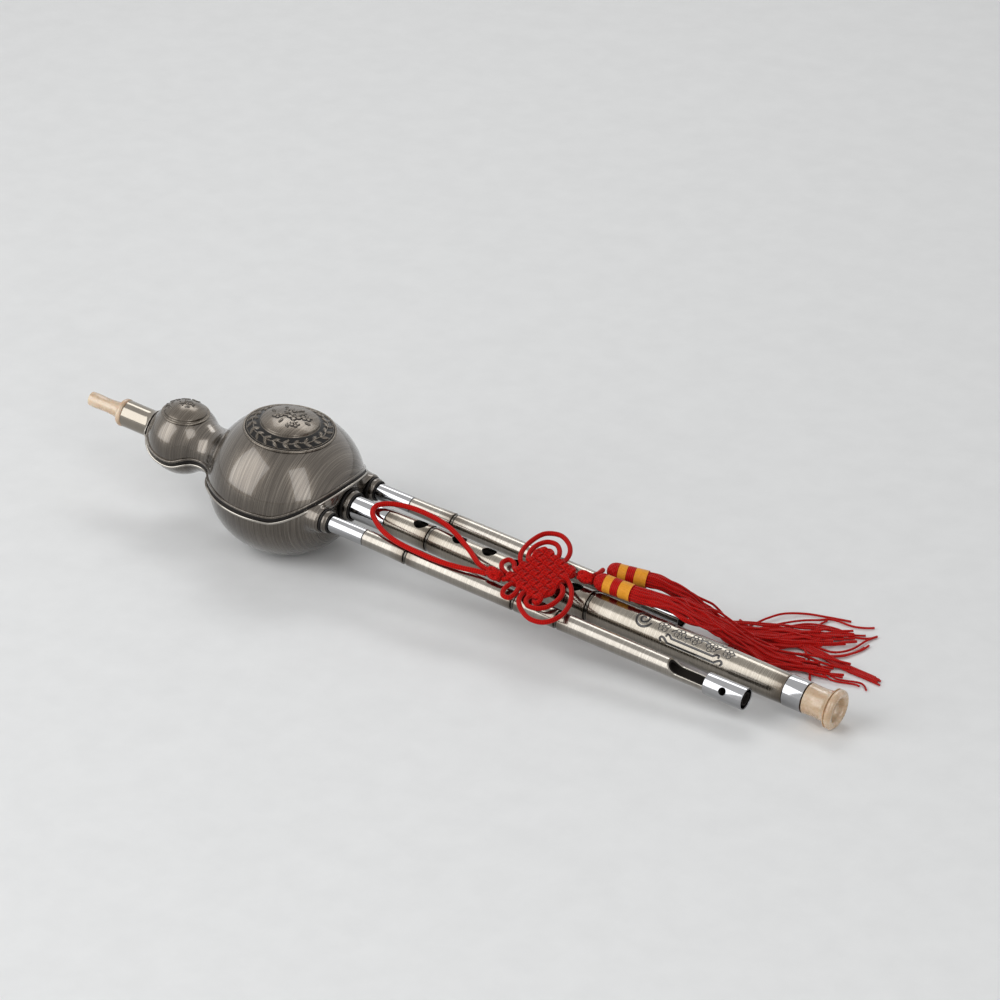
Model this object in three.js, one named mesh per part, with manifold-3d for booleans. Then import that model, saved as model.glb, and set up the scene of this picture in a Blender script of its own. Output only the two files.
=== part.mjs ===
// A hulusi, the gourd flute: a double gourd wind chamber in two shells, a main pipe with finger
// holes, two drone pipes of unlike length, and a red knotted charm that lies over the pipes.
// The instrument is drawn along +X from the tip of its mouthpiece, with its seam plane at z = 0,
// and is then tipped to lie on its lower shell and its end cap. Units are millimetres.

import * as THREE from 'three';
import { mergeVertices } from 'three/addons/utils/BufferGeometryUtils.js';
import Module from 'manifold-3d';

const wasm = await Module();
wasm.setup();
const { Manifold, Mesh } = wasm;

// Clearances shared by every fit
const seatGap = 0.3;
const slideGap = 0.3;
const overrun = 2;

// Mouthpiece
const mouthpieceReach = 22.3;
const mouthpieceTipRadius = 3.5;
const mouthpieceRootRadius = 4.5;
const mouthpieceBore = 2.2;
const mouthpieceCollarRadius = 7.1;
const mouthpieceCollarWidth = 2.9;
const tenonRadius = 3.9;
const tenonLength = 12;
const tenonCorkWall = 1;

// Gourd
const neckLength = 15.5;
const neckRadius = 6.8;
const neckFillet = 7;
const smallHalfWidth = 18;
const smallHalfHeight = 18;
const largeHalfWidth = 38.2;
const largeHalfHeight = 35.2;
const bulbSpacing = 62.2;
const waistFillet = 12;
const gourdWall = 1.6;
const lipOverhang = 1.5;
const lipHeight = 1.1;
const upperLipOverhang = 0.8;
const gasketHeight = 1.7;
const gasketProud = 0.5;
const seamRise = 16.5;
const restFlatDepth = 0.8;
const noseTrim = 1.7;

// Medallions let into the upper shell
const largeMedallionRadius = 22.6;
const largeDiscRadius = 14.5;
const smallMedallionRadius = 11.9;
const medallionRimWidth = 1.2;
const medallionRimHeight = 0.9;
const medallionBandHeight = 0.1;
const largeDiscHeight = 1.1;
const smallDiscHeight = 2.1;
const medallionRecess = 0.7;

// Pipes, all three side by side in one plane
const pipeHeight = 1.5;
const droneSpread = 0.4;
const droneSpacing = largeHalfWidth / 2 + droneSpread;
const mainBore = 3.6;
const mainLinerRadius = 5.2;
const mainLinerEndRadius = 6.2;
const mainFerruleRadius = 5.9;
const mainFirstNodeRadius = 6.5;
const mainSecondNodeRadius = 7.9;
const mainEndRadius = 7.2;
const endRingRadius = 7.5;
const nodeGroove = 0.5;
const nodeWidth = 1.3;
const nodeSwellLength = 11;
const droneBore = 1.6;
const droneLinerRadius = 3.2;
const droneFerruleRadius = 4.1;
const droneNodeRadius = 4.6;
const droneWaistRadius = 4.2;
const droneSleeveRadius = 5.4;
const droneSleeveWall = 0.7;
const pipeInset = 20;
const ferruleReach = 24;
const firstSectionLength = 25;
const secondSectionLength = 91;
const thirdSectionLength = 106;
const endRingLength = 9.7;
const nearDroneLength = 235;
const farDroneLength = 177.5;
const droneSleeveLength = 20.4;
const droneNodeSpacings = [25, 61, 24];
const windowLength = 21;

// Sockets in the nose of the lower shell
const socketCorkWall = 0.7;
const socketRingWidth = 1.1;
const socketNutWidth = 2.4;
const mainSocketRadius = 8;
const droneSocketRadius = 6;
const socketLand = 1.4;
const pipeSeatLength = 12;

// Finger holes and sound holes
const fingerHoleRadius = 3.4;
const fingerHoleSteps = [22.2, 17, 16.2, 16.2, 16];
const firstHoleSetback = 7;
const thumbHoleSetback = 18;
const sleeveHoleRadius = 1.9;
const sleeveHoleTurn = 65;

// End cap
const capTubeLength = 13;
const capTubeRadius = 7.4;
const capFlangeRadius = 9.7;
const capFlangeBead = 2;
const capBore = 4.6;
const capSpigotLength = 8;

// Reeds
const reedLength = 20;
const reedThickness = 0.4;
const reedFlatDepth = 1.2;
const reedTongueSlit = 0.3;
const reedSlotLength = 13;
const reedSetback = 3;
const plugLength = 4;

// Charm
const cordRadius = 1.3;
const knotCordRadius = 0.82;
const knotWeaveHeight = 1.4;
const knotStrands = 6;
const buttonRadius = 3.2;
const buttonLength = 8;
const tasselHeadRadius = 4.4;
const tasselHeadLength = 20;
const tasselCapLength = 6;
const tasselNeckRadius = 1.4;
const tasselSkirtRoot = 3.6;
const leastSelfGap = 0.4;

// Mesh fineness
const leastEdge = 0.02;
const pipeSides = 18;
const smallSides = 12;
const discSides = 20;
const gourdSides = 24;
const arcStep = 24;
const chamberSides = 20;
const chamberStep = 36;
const beadStep = 36;

// Places along the instrument
const smallX = mouthpieceReach + neckLength + smallHalfWidth + waistFillet / 6;
const largeX = smallX + bulbSpacing;
const noseX = largeX + largeHalfWidth - noseTrim;
const pipeStart = noseX - pipeInset - ferruleReach / 2;
const ferruleEnd = noseX + ferruleReach;
const firstNodeX = ferruleEnd + firstSectionLength;
const secondNodeX = firstNodeX + secondSectionLength;
const endRingX = secondNodeX + thirdSectionLength;
const capX = endRingX + endRingLength;
const capEnd = capX + capTubeLength + 2 * capFlangeBead;

const materials = {
  resin: { color: 0xd8b590, roughness: 0.35, metalness: 0 },
  nickel: { color: 0x8d857b, roughness: 0.3, metalness: 1 },
  chrome: { color: 0xd4d6da, roughness: 0.08, metalness: 1 },
  black: { color: 0x15130f, roughness: 0.55, metalness: 0 },
  cork: { color: 0xb98a57, roughness: 0.9, metalness: 0 },
  brass: { color: 0xb8923f, roughness: 0.35, metalness: 1 },
  liner: { color: 0x2a211c, roughness: 0.5, metalness: 0 },
  red: { color: 0xb4140e, roughness: 0.8, metalness: 0 },
};

// Solids

function weld(geometry) {
  const bare = new THREE.BufferGeometry();
  bare.setAttribute('position', geometry.getAttribute('position').clone());
  if (geometry.index) bare.setIndex(geometry.index.clone());
  const merged = mergeVertices(bare, 1e-4);
  const index = merged.index.array;
  const kept = [];
  for (let i = 0; i < index.length; i += 3) {
    const [a, b, c] = [index[i], index[i + 1], index[i + 2]];
    if (a !== b && b !== c && c !== a) kept.push(a, b, c);
  }
  merged.setIndex(kept);
  if (signedVolume(merged) < 0) {
    for (let i = 0; i < kept.length; i += 3) [kept[i], kept[i + 1]] = [kept[i + 1], kept[i]];
    merged.setIndex(kept);
  }
  return merged;
}

function signedVolume(geometry) {
  const position = geometry.getAttribute('position');
  const index = geometry.index.array;
  const [a, b, c] = [new THREE.Vector3(), new THREE.Vector3(), new THREE.Vector3()];
  let volume = 0;
  for (let i = 0; i < index.length; i += 3) {
    a.fromBufferAttribute(position, index[i]);
    b.fromBufferAttribute(position, index[i + 1]);
    c.fromBufferAttribute(position, index[i + 2]);
    volume += a.dot(b.cross(c)) / 6;
  }
  return volume;
}

function solid(geometry) {
  const welded = weld(geometry);
  return new Manifold(new Mesh({
    numProp: 3,
    vertProperties: new Float32Array(welded.getAttribute('position').array),
    triVerts: new Uint32Array(welded.index.array),
  }));
}

function meshGeometry(body) {
  const { numProp, vertProperties, triVerts } = body.simplify(leastEdge).getMesh();
  const geometry = new THREE.BufferGeometry();
  const count = vertProperties.length / numProp;
  const position = new Float32Array(count * 3);
  for (let i = 0; i < count; i += 1) {
    for (let k = 0; k < 3; k += 1) position[3 * i + k] = vertProperties[numProp * i + k];
  }
  geometry.setAttribute('position', new THREE.BufferAttribute(position, 3));
  geometry.setIndex([...triVerts]);
  return geometry;
}

// Turns an outline of [along, radius] places about the X axis
function turned(outline, sides = pipeSides) {
  const points = outline.map(([along, radius]) => new THREE.Vector2(radius, along));
  if (outline[0][1] > 0) points.push(points[0].clone());
  const geometry = new THREE.LatheGeometry(points, sides);
  geometry.rotateZ(-Math.PI / 2);
  return solid(geometry);
}

function tube(start, end, outer, inner, sides) {
  return turned([[start, inner], [start, outer], [end, outer], [end, inner]], sides);
}

function rod(start, end, radius, sides = pipeSides) {
  return turned([[start, 0], [start, radius], [end, radius], [end, 0]], sides);
}

function box(x0, x1, y0, y1, z0, z1) {
  const geometry = new THREE.BoxGeometry(x1 - x0, y1 - y0, z1 - z0);
  geometry.translate((x0 + x1) / 2, (y0 + y1) / 2, (z0 + z1) / 2);
  return solid(geometry);
}

function uprightRod(x, y, z0, z1, radius, sides = pipeSides) {
  const geometry = new THREE.CylinderGeometry(radius, radius, z1 - z0, sides);
  geometry.rotateX(Math.PI / 2);
  geometry.translate(x, y, (z0 + z1) / 2);
  return solid(geometry);
}

// Extrudes an outline of [x, z] places across the whole width of the instrument
function crossCut(outline, halfDepth) {
  const shape = new THREE.Shape(outline.map(([x, z]) => new THREE.Vector2(x, z)));
  const geometry = new THREE.ExtrudeGeometry(shape, { depth: 2 * halfDepth, bevelEnabled: false });
  geometry.rotateX(Math.PI / 2);
  geometry.translate(0, halfDepth, 0);
  return solid(geometry);
}

// Skins rings of equal point counts, closing each end with a fan
function skinned(rings) {
  const sides = rings[0].length;
  const position = rings.flat().flatMap((p) => [p.x, p.y, p.z]);
  const index = [];
  for (let r = 0; r + 1 < rings.length; r += 1) {
    for (let s = 0; s < sides; s += 1) {
      const a = r * sides + s;
      const b = r * sides + ((s + 1) % sides);
      index.push(a, b, b + sides, a, b + sides, a + sides);
    }
  }
  const last = (rings.length - 1) * sides;
  for (let s = 1; s + 1 < sides; s += 1) {
    index.push(0, s + 1, s);
    index.push(last, last + s, last + s + 1);
  }
  const geometry = new THREE.BufferGeometry();
  geometry.setAttribute('position', new THREE.Float32BufferAttribute(position, 3));
  geometry.setIndex(index);
  return solid(geometry);
}

// The gourd's form

function arcPoints(cx, cy, radius, from, to, step = arcStep) {
  const count = Math.max(2, Math.ceil(Math.abs(to - from) / THREE.MathUtils.degToRad(step)));
  const points = [];
  for (let i = 0; i <= count; i += 1) {
    const angle = from + ((to - from) * i) / count;
    points.push([cx + radius * Math.cos(angle), cy + radius * Math.sin(angle)]);
  }
  return points;
}

// Half the gourd's width along its length, grown or shrunk all over by an offset
function gourdOutline(offset, step) {
  const small = smallHalfWidth + offset;
  const large = largeHalfWidth + offset;
  const waist = waistFillet - offset;
  const neck = neckRadius + offset;
  const flare = neckFillet - offset;
  const reach1 = small + waist;
  const reach2 = large + waist;
  const along = (reach1 ** 2 - reach2 ** 2 + bulbSpacing ** 2) / (2 * bulbSpacing);
  const waistX = smallX + along;
  const waistY = Math.sqrt(reach1 ** 2 - along ** 2);
  const flareY = neck + flare;
  const flareX = smallX - Math.sqrt((small + flare) ** 2 - flareY ** 2);
  const toSmall = Math.atan2(-flareY, smallX - flareX);
  const toWaist = Math.atan2(-waistY, largeX - waistX);
  const fromWaist = Math.atan2(-waistY, smallX - waistX);
  return [
    [mouthpieceReach + seatGap, neck],
    ...arcPoints(flareX, flareY, flare, -Math.PI / 2, toSmall, step),
    ...arcPoints(smallX, 0, small, Math.PI + toSmall, Math.PI + fromWaist, step).slice(1),
    ...arcPoints(waistX, waistY, waist, fromWaist, toWaist, step).slice(1),
    ...arcPoints(largeX, 0, large, Math.PI + toWaist, Math.PI / 2, step).slice(1),
    ...arcPoints(largeX, 0, large, Math.PI / 2, 0, step).slice(1, -1),
    [largeX + large, large / gourdSides / 4],
  ];
}

function heightShare(x) {
  const blend = THREE.MathUtils.smoothstep(x, smallX, largeX);
  const small = smallHalfHeight / smallHalfWidth;
  return small + (largeHalfHeight / largeHalfWidth - small) * blend;
}

function gourd(offset, sides = gourdSides, step = arcStep) {
  const rings = gourdOutline(offset, step).map(([x, half]) => {
    const ring = [];
    for (let s = 0; s < sides; s += 1) {
      const angle = (2 * Math.PI * s) / sides;
      const z = half * heightShare(x) * Math.sin(angle);
      ring.push(new THREE.Vector3(x, half * Math.cos(angle), z));
    }
    return ring;
  });
  return skinned(rings);
}

// The seam waves under the small bulb, runs level round the large one and rises over the nose
const smallSeamShares = [[-0.86, -0.02], [-0.43, -0.24], [0.17, -0.33], [0.57, -0.18], [0.86, -0.13]];
const largeSeamShares = [[-0.89, -0.055], [-0.66, 0], [-0.3, 0], [0.05, 0], [0.38, 0]];
const seamStartShare = -0.9;
const seamRiseShare = 0.38;

function seamOutline(lift) {
  const start = smallX + seamStartShare * smallHalfWidth + lift;
  const wave = new THREE.SplineCurve([
    ...smallSeamShares.map(([x, z]) => [smallX + x * smallHalfWidth, z * smallHalfHeight]),
    ...largeSeamShares.map(([x, z]) => [largeX + x * largeHalfWidth, z * largeHalfHeight]),
  ].map(([x, z]) => new THREE.Vector2(x, z)));
  const points = wave.getPoints(13).map((p) => [p.x, p.y + lift]);
  const riseStart = largeX + seamRiseShare * largeHalfWidth;
  const riseEnd = largeX + largeHalfWidth + lipOverhang;
  for (let i = 1; i <= 4; i += 1) {
    const t = i / 4;
    points.push([riseStart + t * (riseEnd - riseStart), seamRise * t ** 1.5 + lift]);
  }
  const end = riseEnd + overrun + lipOverhang;
  const top = largeHalfHeight + largeDiscHeight + overrun;
  return [[start, points[0][1]], ...points, [end, points.at(-1)[1]], [end, top], [start, top]];
}

function aboveSeam(lift) {
  return crossCut(seamOutline(lift), largeHalfWidth + lipOverhang + overrun);
}

// Lobes that carry the three sockets out of the lower shell's nose
const droneYs = { near: -droneSpacing, far: droneSpacing };

function noseBlock() {
  const start = largeX + largeHalfWidth / 3;
  const flare = socketLand * 2;
  const lobe = (y, radius) => turned([
    [start, 0], [start, radius + flare], [noseX, radius + socketLand / 2], [noseX, 0],
  ]).translate([0, y, pipeHeight]);
  const main = lobe(0, mainSocketRadius);
  const near = lobe(droneYs.near, droneSocketRadius);
  const far = lobe(droneYs.far, droneSocketRadius);
  const web = Manifold.hull([
    rod(start, noseX, droneSocketRadius - socketLand).translate([0, droneYs.near, pipeHeight]),
    rod(start, noseX, droneSocketRadius - socketLand).translate([0, droneYs.far, pipeHeight]),
  ]);
  return main.add(near).add(far).add(web);
}

function chamber() {
  const hollow = gourd(-gourdWall, chamberSides, chamberStep);
  const limit = largeHalfWidth + overrun;
  const trimmed = hollow.intersect(box(0, noseX - gourdWall, -limit, limit, -limit, limit));
  const bore = tenonRadius + tenonCorkWall + slideGap + seatGap;
  return trimmed.add(rod(0, smallX - smallHalfWidth / 2, bore));
}

const corkEnd = noseX - gourdWall - seatGap;
const corkStart = corkEnd - pipeSeatLength;
const sockets = {
  main: { y: 0, ferrule: mainFerruleRadius, radius: mainSocketRadius },
  near: { y: droneYs.near, ferrule: droneFerruleRadius, radius: droneSocketRadius },
  far: { y: droneYs.far, ferrule: droneFerruleRadius, radius: droneSocketRadius },
};

function socketBore(ferrule) {
  return ferrule + slideGap + socketCorkWall + seatGap;
}

// Bores for the corks behind the nose, and the narrower mouths that the pipes pass through
function socketHoles() {
  const end = largeX + largeHalfWidth + overrun;
  return Object.values(sockets).map(({ y, ferrule }) => rod(
    corkStart - seatGap, corkEnd + seatGap, socketBore(ferrule),
  ).add(rod(corkStart, end, ferrule + 2 * slideGap)).translate([0, y, pipeHeight]))
    .reduce((all, hole) => all.add(hole));
}

// Everything ahead of the nose plane and below the seam is cut away round the lobes
function noseCut() {
  const deep = largeHalfWidth + overrun;
  const end = largeX + largeHalfWidth + lipOverhang + overrun;
  return box(noseX, end, -deep, deep, -deep, pipeHeight + mainSocketRadius + socketLand);
}

const hollowChamber = chamber();
const outerGourd = gourd(0);

// The pitch at which the lower shell's flat and the cap's flange both touch the ground
function restingPitch() {
  const flangeX = capEnd - capFlangeBead;
  const drop = (pitch) => {
    const bulb = Math.hypot(largeHalfWidth * Math.sin(pitch), largeHalfHeight * Math.cos(pitch));
    const flange = (capFlangeRadius - capFlangeBead - pipeHeight) * Math.cos(pitch);
    return bulb - restFlatDepth - flange - capFlangeBead;
  };
  let pitch = 0;
  for (let i = 0; i < 12; i += 1) pitch = Math.asin(drop(pitch) / (flangeX - largeX));
  return pitch;
}

const pitch = restingPitch();
const bulbDrop = Math.hypot(largeHalfWidth * Math.sin(pitch), largeHalfHeight * Math.cos(pitch));

// The half space under the rest flat, in the instrument's own frame
function underRestFlat() {
  const size = 2 * largeHalfWidth;
  const low = -bulbDrop - largeX * Math.sin(pitch);
  const geometry = new THREE.BoxGeometry(size, size, size);
  const lowestX = largeX * Math.cos(pitch) - (largeHalfHeight - restFlatDepth) * Math.sin(pitch);
  geometry.translate(lowestX, 0, low + restFlatDepth - size / 2);
  geometry.rotateY(-pitch);
  return solid(geometry);
}

function lowerShell() {
  const below = aboveSeam(-gasketHeight / 2);
  const lipTop = aboveSeam(-gasketHeight / 2);
  const lipBottom = aboveSeam(-gasketHeight / 2 - lipHeight);
  const lip = gourd(lipOverhang).intersect(lipBottom.subtract(lipTop));
  return outerGourd.subtract(noseCut())
    .add(lip.subtract(noseCut()))
    .add(noseBlock())
    .subtract(below)
    .subtract(hollowChamber)
    .subtract(socketHoles())
    .subtract(underRestFlat());
}

function upperShell() {
  const lip = gourd(upperLipOverhang).intersect(aboveSeam(gasketHeight / 2)
    .subtract(aboveSeam(gasketHeight / 2 + lipHeight)));
  const recess = (x, radius) => uprightRod(x, 0, 0, 2 * largeHalfHeight, radius + seatGap, discSides)
    .subtract(gourd(-medallionRecess));
  return outerGourd
    .intersect(aboveSeam(gasketHeight / 2))
    .add(lip)
    .subtract(hollowChamber)
    .subtract(socketHoles())
    .subtract(recess(largeX, largeMedallionRadius))
    .subtract(recess(smallX, smallMedallionRadius));
}

function seamGasket() {
  const band = aboveSeam(-gasketHeight / 2 + seatGap)
    .subtract(aboveSeam(gasketHeight / 2 - seatGap));
  return gourd(gasketProud).intersect(band)
    .subtract(hollowChamber)
    .subtract(socketHoles())
    .subtract(noseCut());
}

// A plate that follows the gourd, with a rim and a raised disc
function medallion(x, radius, discRadius, discHeight) {
  const column = (r) => uprightRod(x, 0, 0, 2 * largeHalfHeight, r, discSides);
  const rim = column(radius).subtract(column(radius - medallionRimWidth))
    .intersect(gourd(medallionRimHeight));
  return column(radius).intersect(gourd(medallionBandHeight))
    .add(rim)
    .add(column(discRadius).intersect(gourd(discHeight)))
    .subtract(gourd(seatGap - medallionRecess));
}

// Pipe parts, drawn on the X axis and moved to their pipe by the caller

function swell(start, end, startRadius, endRadius) {
  const flare = Math.min(nodeSwellLength, (end - start) / 2);
  const body = Math.min(startRadius, endRadius);
  const waist = THREE.MathUtils.lerp(startRadius, endRadius, 0.35) - (endRadius - body) / 6;
  const curve = new THREE.CubicBezierCurve(
    new THREE.Vector2(start, startRadius),
    new THREE.Vector2(start + flare, waist),
    new THREE.Vector2(end - flare, waist),
    new THREE.Vector2(end, endRadius),
  );
  return curve.getPoints(5).map((p) => [p.x, p.y]);
}

function linerRadiusAt(x) {
  const share = THREE.MathUtils.clamp((x - firstNodeX) / (secondNodeX - firstNodeX), 0, 1);
  return mainLinerRadius + (mainLinerEndRadius - mainLinerRadius) * share;
}

// A sleeve whose outside swells to its nodes and whose inside follows the liner
function sleeve(outer, innerAt, sides = pipeSides) {
  const start = outer[0][0];
  const end = outer.at(-1)[0];
  const inside = [end, secondNodeX, firstNodeX, start]
    .filter((x, i, all) => x <= end && x >= start && all.indexOf(x) === i)
    .map((x) => [x, innerAt(x) + seatGap]);
  return turned([...outer, ...inside], sides);
}

const holeXs = [ferruleEnd + firstSectionLength - firstHoleSetback];
for (const step of fingerHoleSteps) holeXs.push(holeXs.at(-1) + step);
const thumbHoleX = ferruleEnd + firstSectionLength - thumbHoleSetback;

function fingerHoles(body) {
  const top = mainSecondNodeRadius + overrun;
  const drill = (x, z0, z1) => uprightRod(x, 0, z0, z1, fingerHoleRadius, 10);
  const holes = holeXs.map((x) => drill(x, 0, top));
  holes.push(drill(thumbHoleX, -top, 0));
  return holes.reduce((left, hole) => left.subtract(hole), body);
}

function reedFlat(radius) {
  return radius - reedFlatDepth;
}

function reedCut(radius) {
  const start = pipeStart + reedSetback - seatGap;
  const end = pipeStart + reedSetback + reedLength + seatGap;
  const flat = box(start, end, -radius, radius, reedFlat(radius), 2 * radius);
  const slotHalf = radius * 0.28;
  const slotStart = pipeStart + reedSetback + (reedLength - reedSlotLength) / 2;
  const slot = box(slotStart, slotStart + reedSlotLength, -slotHalf, slotHalf, 0, 2 * radius);
  return flat.add(slot);
}

// A brass plate with a tongue cut free on three sides
function reed(radius) {
  const start = pipeStart + reedSetback;
  const half = Math.sqrt(radius ** 2 - (reedFlat(radius) + seatGap + reedThickness) ** 2);
  const low = reedFlat(radius) + seatGap;
  const plate = box(start, start + reedLength, -half, half, low, low + reedThickness);
  const tongueHalf = radius * 0.22;
  const tip = start + reedLength / 2 - reedSlotLength / 2 + overrun / 2;
  const root = tip + reedSlotLength - overrun;
  const slit = crossSlit(tip, root, tongueHalf, low, low + reedThickness);
  return plate.subtract(slit);
}

function crossSlit(tip, root, half, z0, z1) {
  const below = z0 - overrun;
  const above = z1 + overrun;
  const side = (y) => box(tip, root, y - reedTongueSlit / 2, y + reedTongueSlit / 2, below, above);
  const end = box(tip, tip + reedTongueSlit, -half, half, below, above);
  return side(-half).add(side(half)).add(end);
}

function mainLiner() {
  const end = capX + seatGap;
  const body = turned([
    [pipeStart, mainBore],
    [pipeStart, mainLinerRadius],
    [firstNodeX, mainLinerRadius],
    [secondNodeX, mainLinerEndRadius],
    [end, mainLinerEndRadius],
    [end, mainBore + mainLinerEndRadius - mainLinerRadius],
    [secondNodeX, mainBore + mainLinerEndRadius - mainLinerRadius],
    [firstNodeX, mainBore],
  ]);
  return fingerHoles(body).subtract(reedCut(mainLinerRadius));
}

function endCap() {
  const flangeX = capEnd - capFlangeBead;
  const bead = arcPoints(
    flangeX, capFlangeRadius - capFlangeBead, capFlangeBead, Math.PI, -Math.PI / 3, beadStep,
  );
  const spigot = mainBore + mainLinerEndRadius - mainLinerRadius - slideGap;
  return turned([
    [capX - capSpigotLength, spigot - 1],
    [capX - capSpigotLength, spigot],
    [capX + 2 * seatGap, spigot],
    [capX + 2 * seatGap, capTubeRadius],
    [flangeX - capFlangeBead - seatGap, capTubeRadius],
    ...bead,
    [capEnd, capFlangeRadius - 1.6 * capFlangeBead],
    [capEnd, capBore],
  ].map(([x, r]) => [x, Math.max(r, Math.min(capBore, spigot - 1))]));
}

function droneStations(length) {
  const stations = [];
  let x = ferruleEnd;
  for (const step of droneNodeSpacings) {
    x += step;
    if (x < noseX + length - windowLength) stations.push(x);
  }
  return stations;
}

function windowCut(sleeveStart) {
  const start = sleeveStart - windowLength;
  const end = sleeveStart + overrun;
  const scoop = windowLength / 3;
  const arch = new THREE.QuadraticBezierCurve(
    new THREE.Vector2(start, droneSleeveRadius),
    new THREE.Vector2(start + scoop / 4, 0),
    new THREE.Vector2(start + scoop, 0),
  ).getPoints(5).map((p) => [p.x, p.y]);
  return crossCut([...arch, [end, 0], [end, droneSleeveRadius + overrun],
    [start, droneSleeveRadius + overrun]], droneSleeveRadius + overrun);
}

function droneLiner(length, side) {
  const end = noseX + length - seatGap;
  const sleeveStart = noseX + length - droneSleeveLength;
  return tube(pipeStart, end, droneLinerRadius, droneBore, smallSides)
    .subtract(reedCut(droneLinerRadius))
    .subtract(windowCut(sleeveStart - seatGap))
    .subtract(sleeveHole(length, side));
}

function droneSections(length) {
  const inner = () => droneLinerRadius;
  const sleeveStart = noseX + length - droneSleeveLength;
  const ends = [...droneStations(length), sleeveStart - seatGap];
  let start = ferruleEnd + seatGap;
  let startRadius = droneFerruleRadius;
  return ends.map((end, i) => {
    const last = i === ends.length - 1;
    const stop = last ? end : end - nodeWidth / 2 - seatGap;
    const endRadius = last ? droneWaistRadius : droneNodeRadius;
    const outer = swell(start, stop, startRadius, endRadius);
    let body = sleeve(outer, inner, smallSides);
    if (last) body = body.subtract(windowCut(sleeveStart - seatGap));
    start = end + nodeWidth / 2 + seatGap;
    startRadius = droneNodeRadius;
    return body;
  });
}

function sleeveHole(length, side) {
  const x = noseX + length - droneSleeveLength / 2;
  return uprightRod(x, 0, 0, droneSleeveRadius + overrun, sleeveHoleRadius, 12)
    .rotate([-side * sleeveHoleTurn, 0, 0]);
}

// Cords

function cordCurve(points) {
  return new THREE.CatmullRomCurve3(points.map((p) => new THREE.Vector3(...p)), false, 'centripetal');
}

function cord(curve, radius, sides, step) {
  const section = new THREE.Shape();
  for (let s = 0; s < sides; s += 1) {
    const angle = (2 * Math.PI * s) / sides;
    const at = [radius * Math.cos(angle), radius * Math.sin(angle)];
    if (s === 0) section.moveTo(...at);
    else section.lineTo(...at);
  }
  section.closePath();
  const steps = Math.ceil(curve.getLength() / step);
  return solid(new THREE.ExtrudeGeometry(section, { steps, extrudePath: curve, bevelEnabled: false }));
}

// The hanging loop's route over the main pipe and the near drone, hand placed
const loopRoute = [
  [247.6, -14.6, 7.9], [240.5, -12.6, 7.9], [229.5, -5.6, 8.6], [212, 2.6, 10.2], [195.5, 5.6, 10],
  [184.5, 4.8, 9.6], [177.6, 1.2, 9.5], [174.6, -3, 9.1], [175.6, -7.6, 8.3], [181.5, -13, 7.8],
  [190, -18.4, 7.8], [199, -21.2, 7.6], [211, -22.4, 7.6], [224, -22.4, 7.6], [235, -20.8, 7.8],
  [243.2, -18.4, 8], [247.6, -17.4, 8],
];

// Corners of the knot's woven body, which lies on the main pipe and the near drone
const knotLeft = new THREE.Vector3(259, -13.9, 9.3);
const knotTop = new THREE.Vector3(261.3, 10, 12.5);
const knotBottom = new THREE.Vector3(278, -20, 8.5);

// The cord's turns outside the weave, as shares of the strand spacings and of the weave's height
const knotTurnShares = {
  start: [[-0.5, -0.9, 0], [-0.05, -0.6, 0.4]],
  topLeftTuck: [[0.05, 5.4, -0.4], [0.5, 5.62, 0], [0.95, 5.4, 0.4]],
  lowerLeftLoop: [[0.85, -0.7, 0], [0.85, -1.7, 0], [1.5, -2.4, 0], [2.3, -2.2, 0],
    [2.4, -1.3, 0], [2.1, -0.6, 0]],
  topInnerLoop: [[2, 5.6, 0], [1.3, 6.4, 0], [0.2, 6.75, 0], [-0.9, 6.3, 0],
    [-1.45, 5.2, 0], [-1.3, 4, 0], [-0.7, 3.2, 0]],
  bottomInnerLoop: [[5.8, 3, 0], [6.7, 2.4, 0], [7.1, 1.2, 0], [6.9, -0.2, 0],
    [6.1, -1.1, 0], [5, -1.5, 0], [4.2, -1.1, 0], [4, -0.5, 0]],
  topRightTuck: [[4.05, 5.4, -0.4], [4.5, 5.62, 0], [4.95, 5.4, 0.4]],
  bottomCorner: [[5.05, -0.5, -0.45], [5.5, -0.6, 0], [5.6, -0.05, 0.45]],
  upperLeftLoop: [[-0.8, -0.05, 0], [-1.8, 0.1, 0], [-2.5, 0.7, 0], [-2.3, 1.5, 0],
    [-1.4, 1.6, 0], [-0.7, 1.1, 0]],
  bottomRightTuck: [[5.5, 1.05, 0], [5.7, 1.5, 0], [5.5, 1.95, 0]],
  topOuterLoop: [[-1.2, 2.4, 0], [-2.1, 3.4, 0], [-2.5, 5.2, 0], [-2.1, 7, 0],
    [-0.5, 8, 0], [1.3, 7.8, 0], [2.6, 6.9, 0], [3.05, 5.7, 0]],
  bottomOuterLoop: [[3.05, -0.7, 0], [3.6, -1.7, 0], [5, -2.4, 0], [6.8, -2.6, 0],
    [8.4, -1.9, 0], [9.2, -0.2, 0], [8.7, 1.8, 0], [7.4, 3.2, 0], [6.1, 3.9, 0]],
  leftTuck: [[-0.5, 4.05, 0], [-0.7, 4.5, 0], [-0.5, 4.95, 0]],
  end: [[5.55, 5.3, 0]],
};

function knotPlace([s, t, z]) {
  const last = knotStrands - 1;
  const across = knotBottom.clone().sub(knotLeft).divideScalar(last);
  const up = knotTop.clone().sub(knotLeft).divideScalar(last);
  const normal = across.clone().cross(up).normalize();
  return knotLeft.clone()
    .addScaledVector(across, s)
    .addScaledVector(up, t)
    .addScaledVector(normal, z * knotWeaveHeight)
    .toArray();
}

// One strand over and under all those that cross it: rising strands cross the level ones
function strand(rising, line, forward) {
  const places = [];
  for (let i = 0; i < knotStrands; i += 1) {
    const at = forward ? i : knotStrands - 1 - i;
    const side = (line + at) % 2 === (rising ? 0 : 1) ? 1 : -1;
    places.push(rising ? [line, at, side] : [at, line, side]);
  }
  return places;
}

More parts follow.
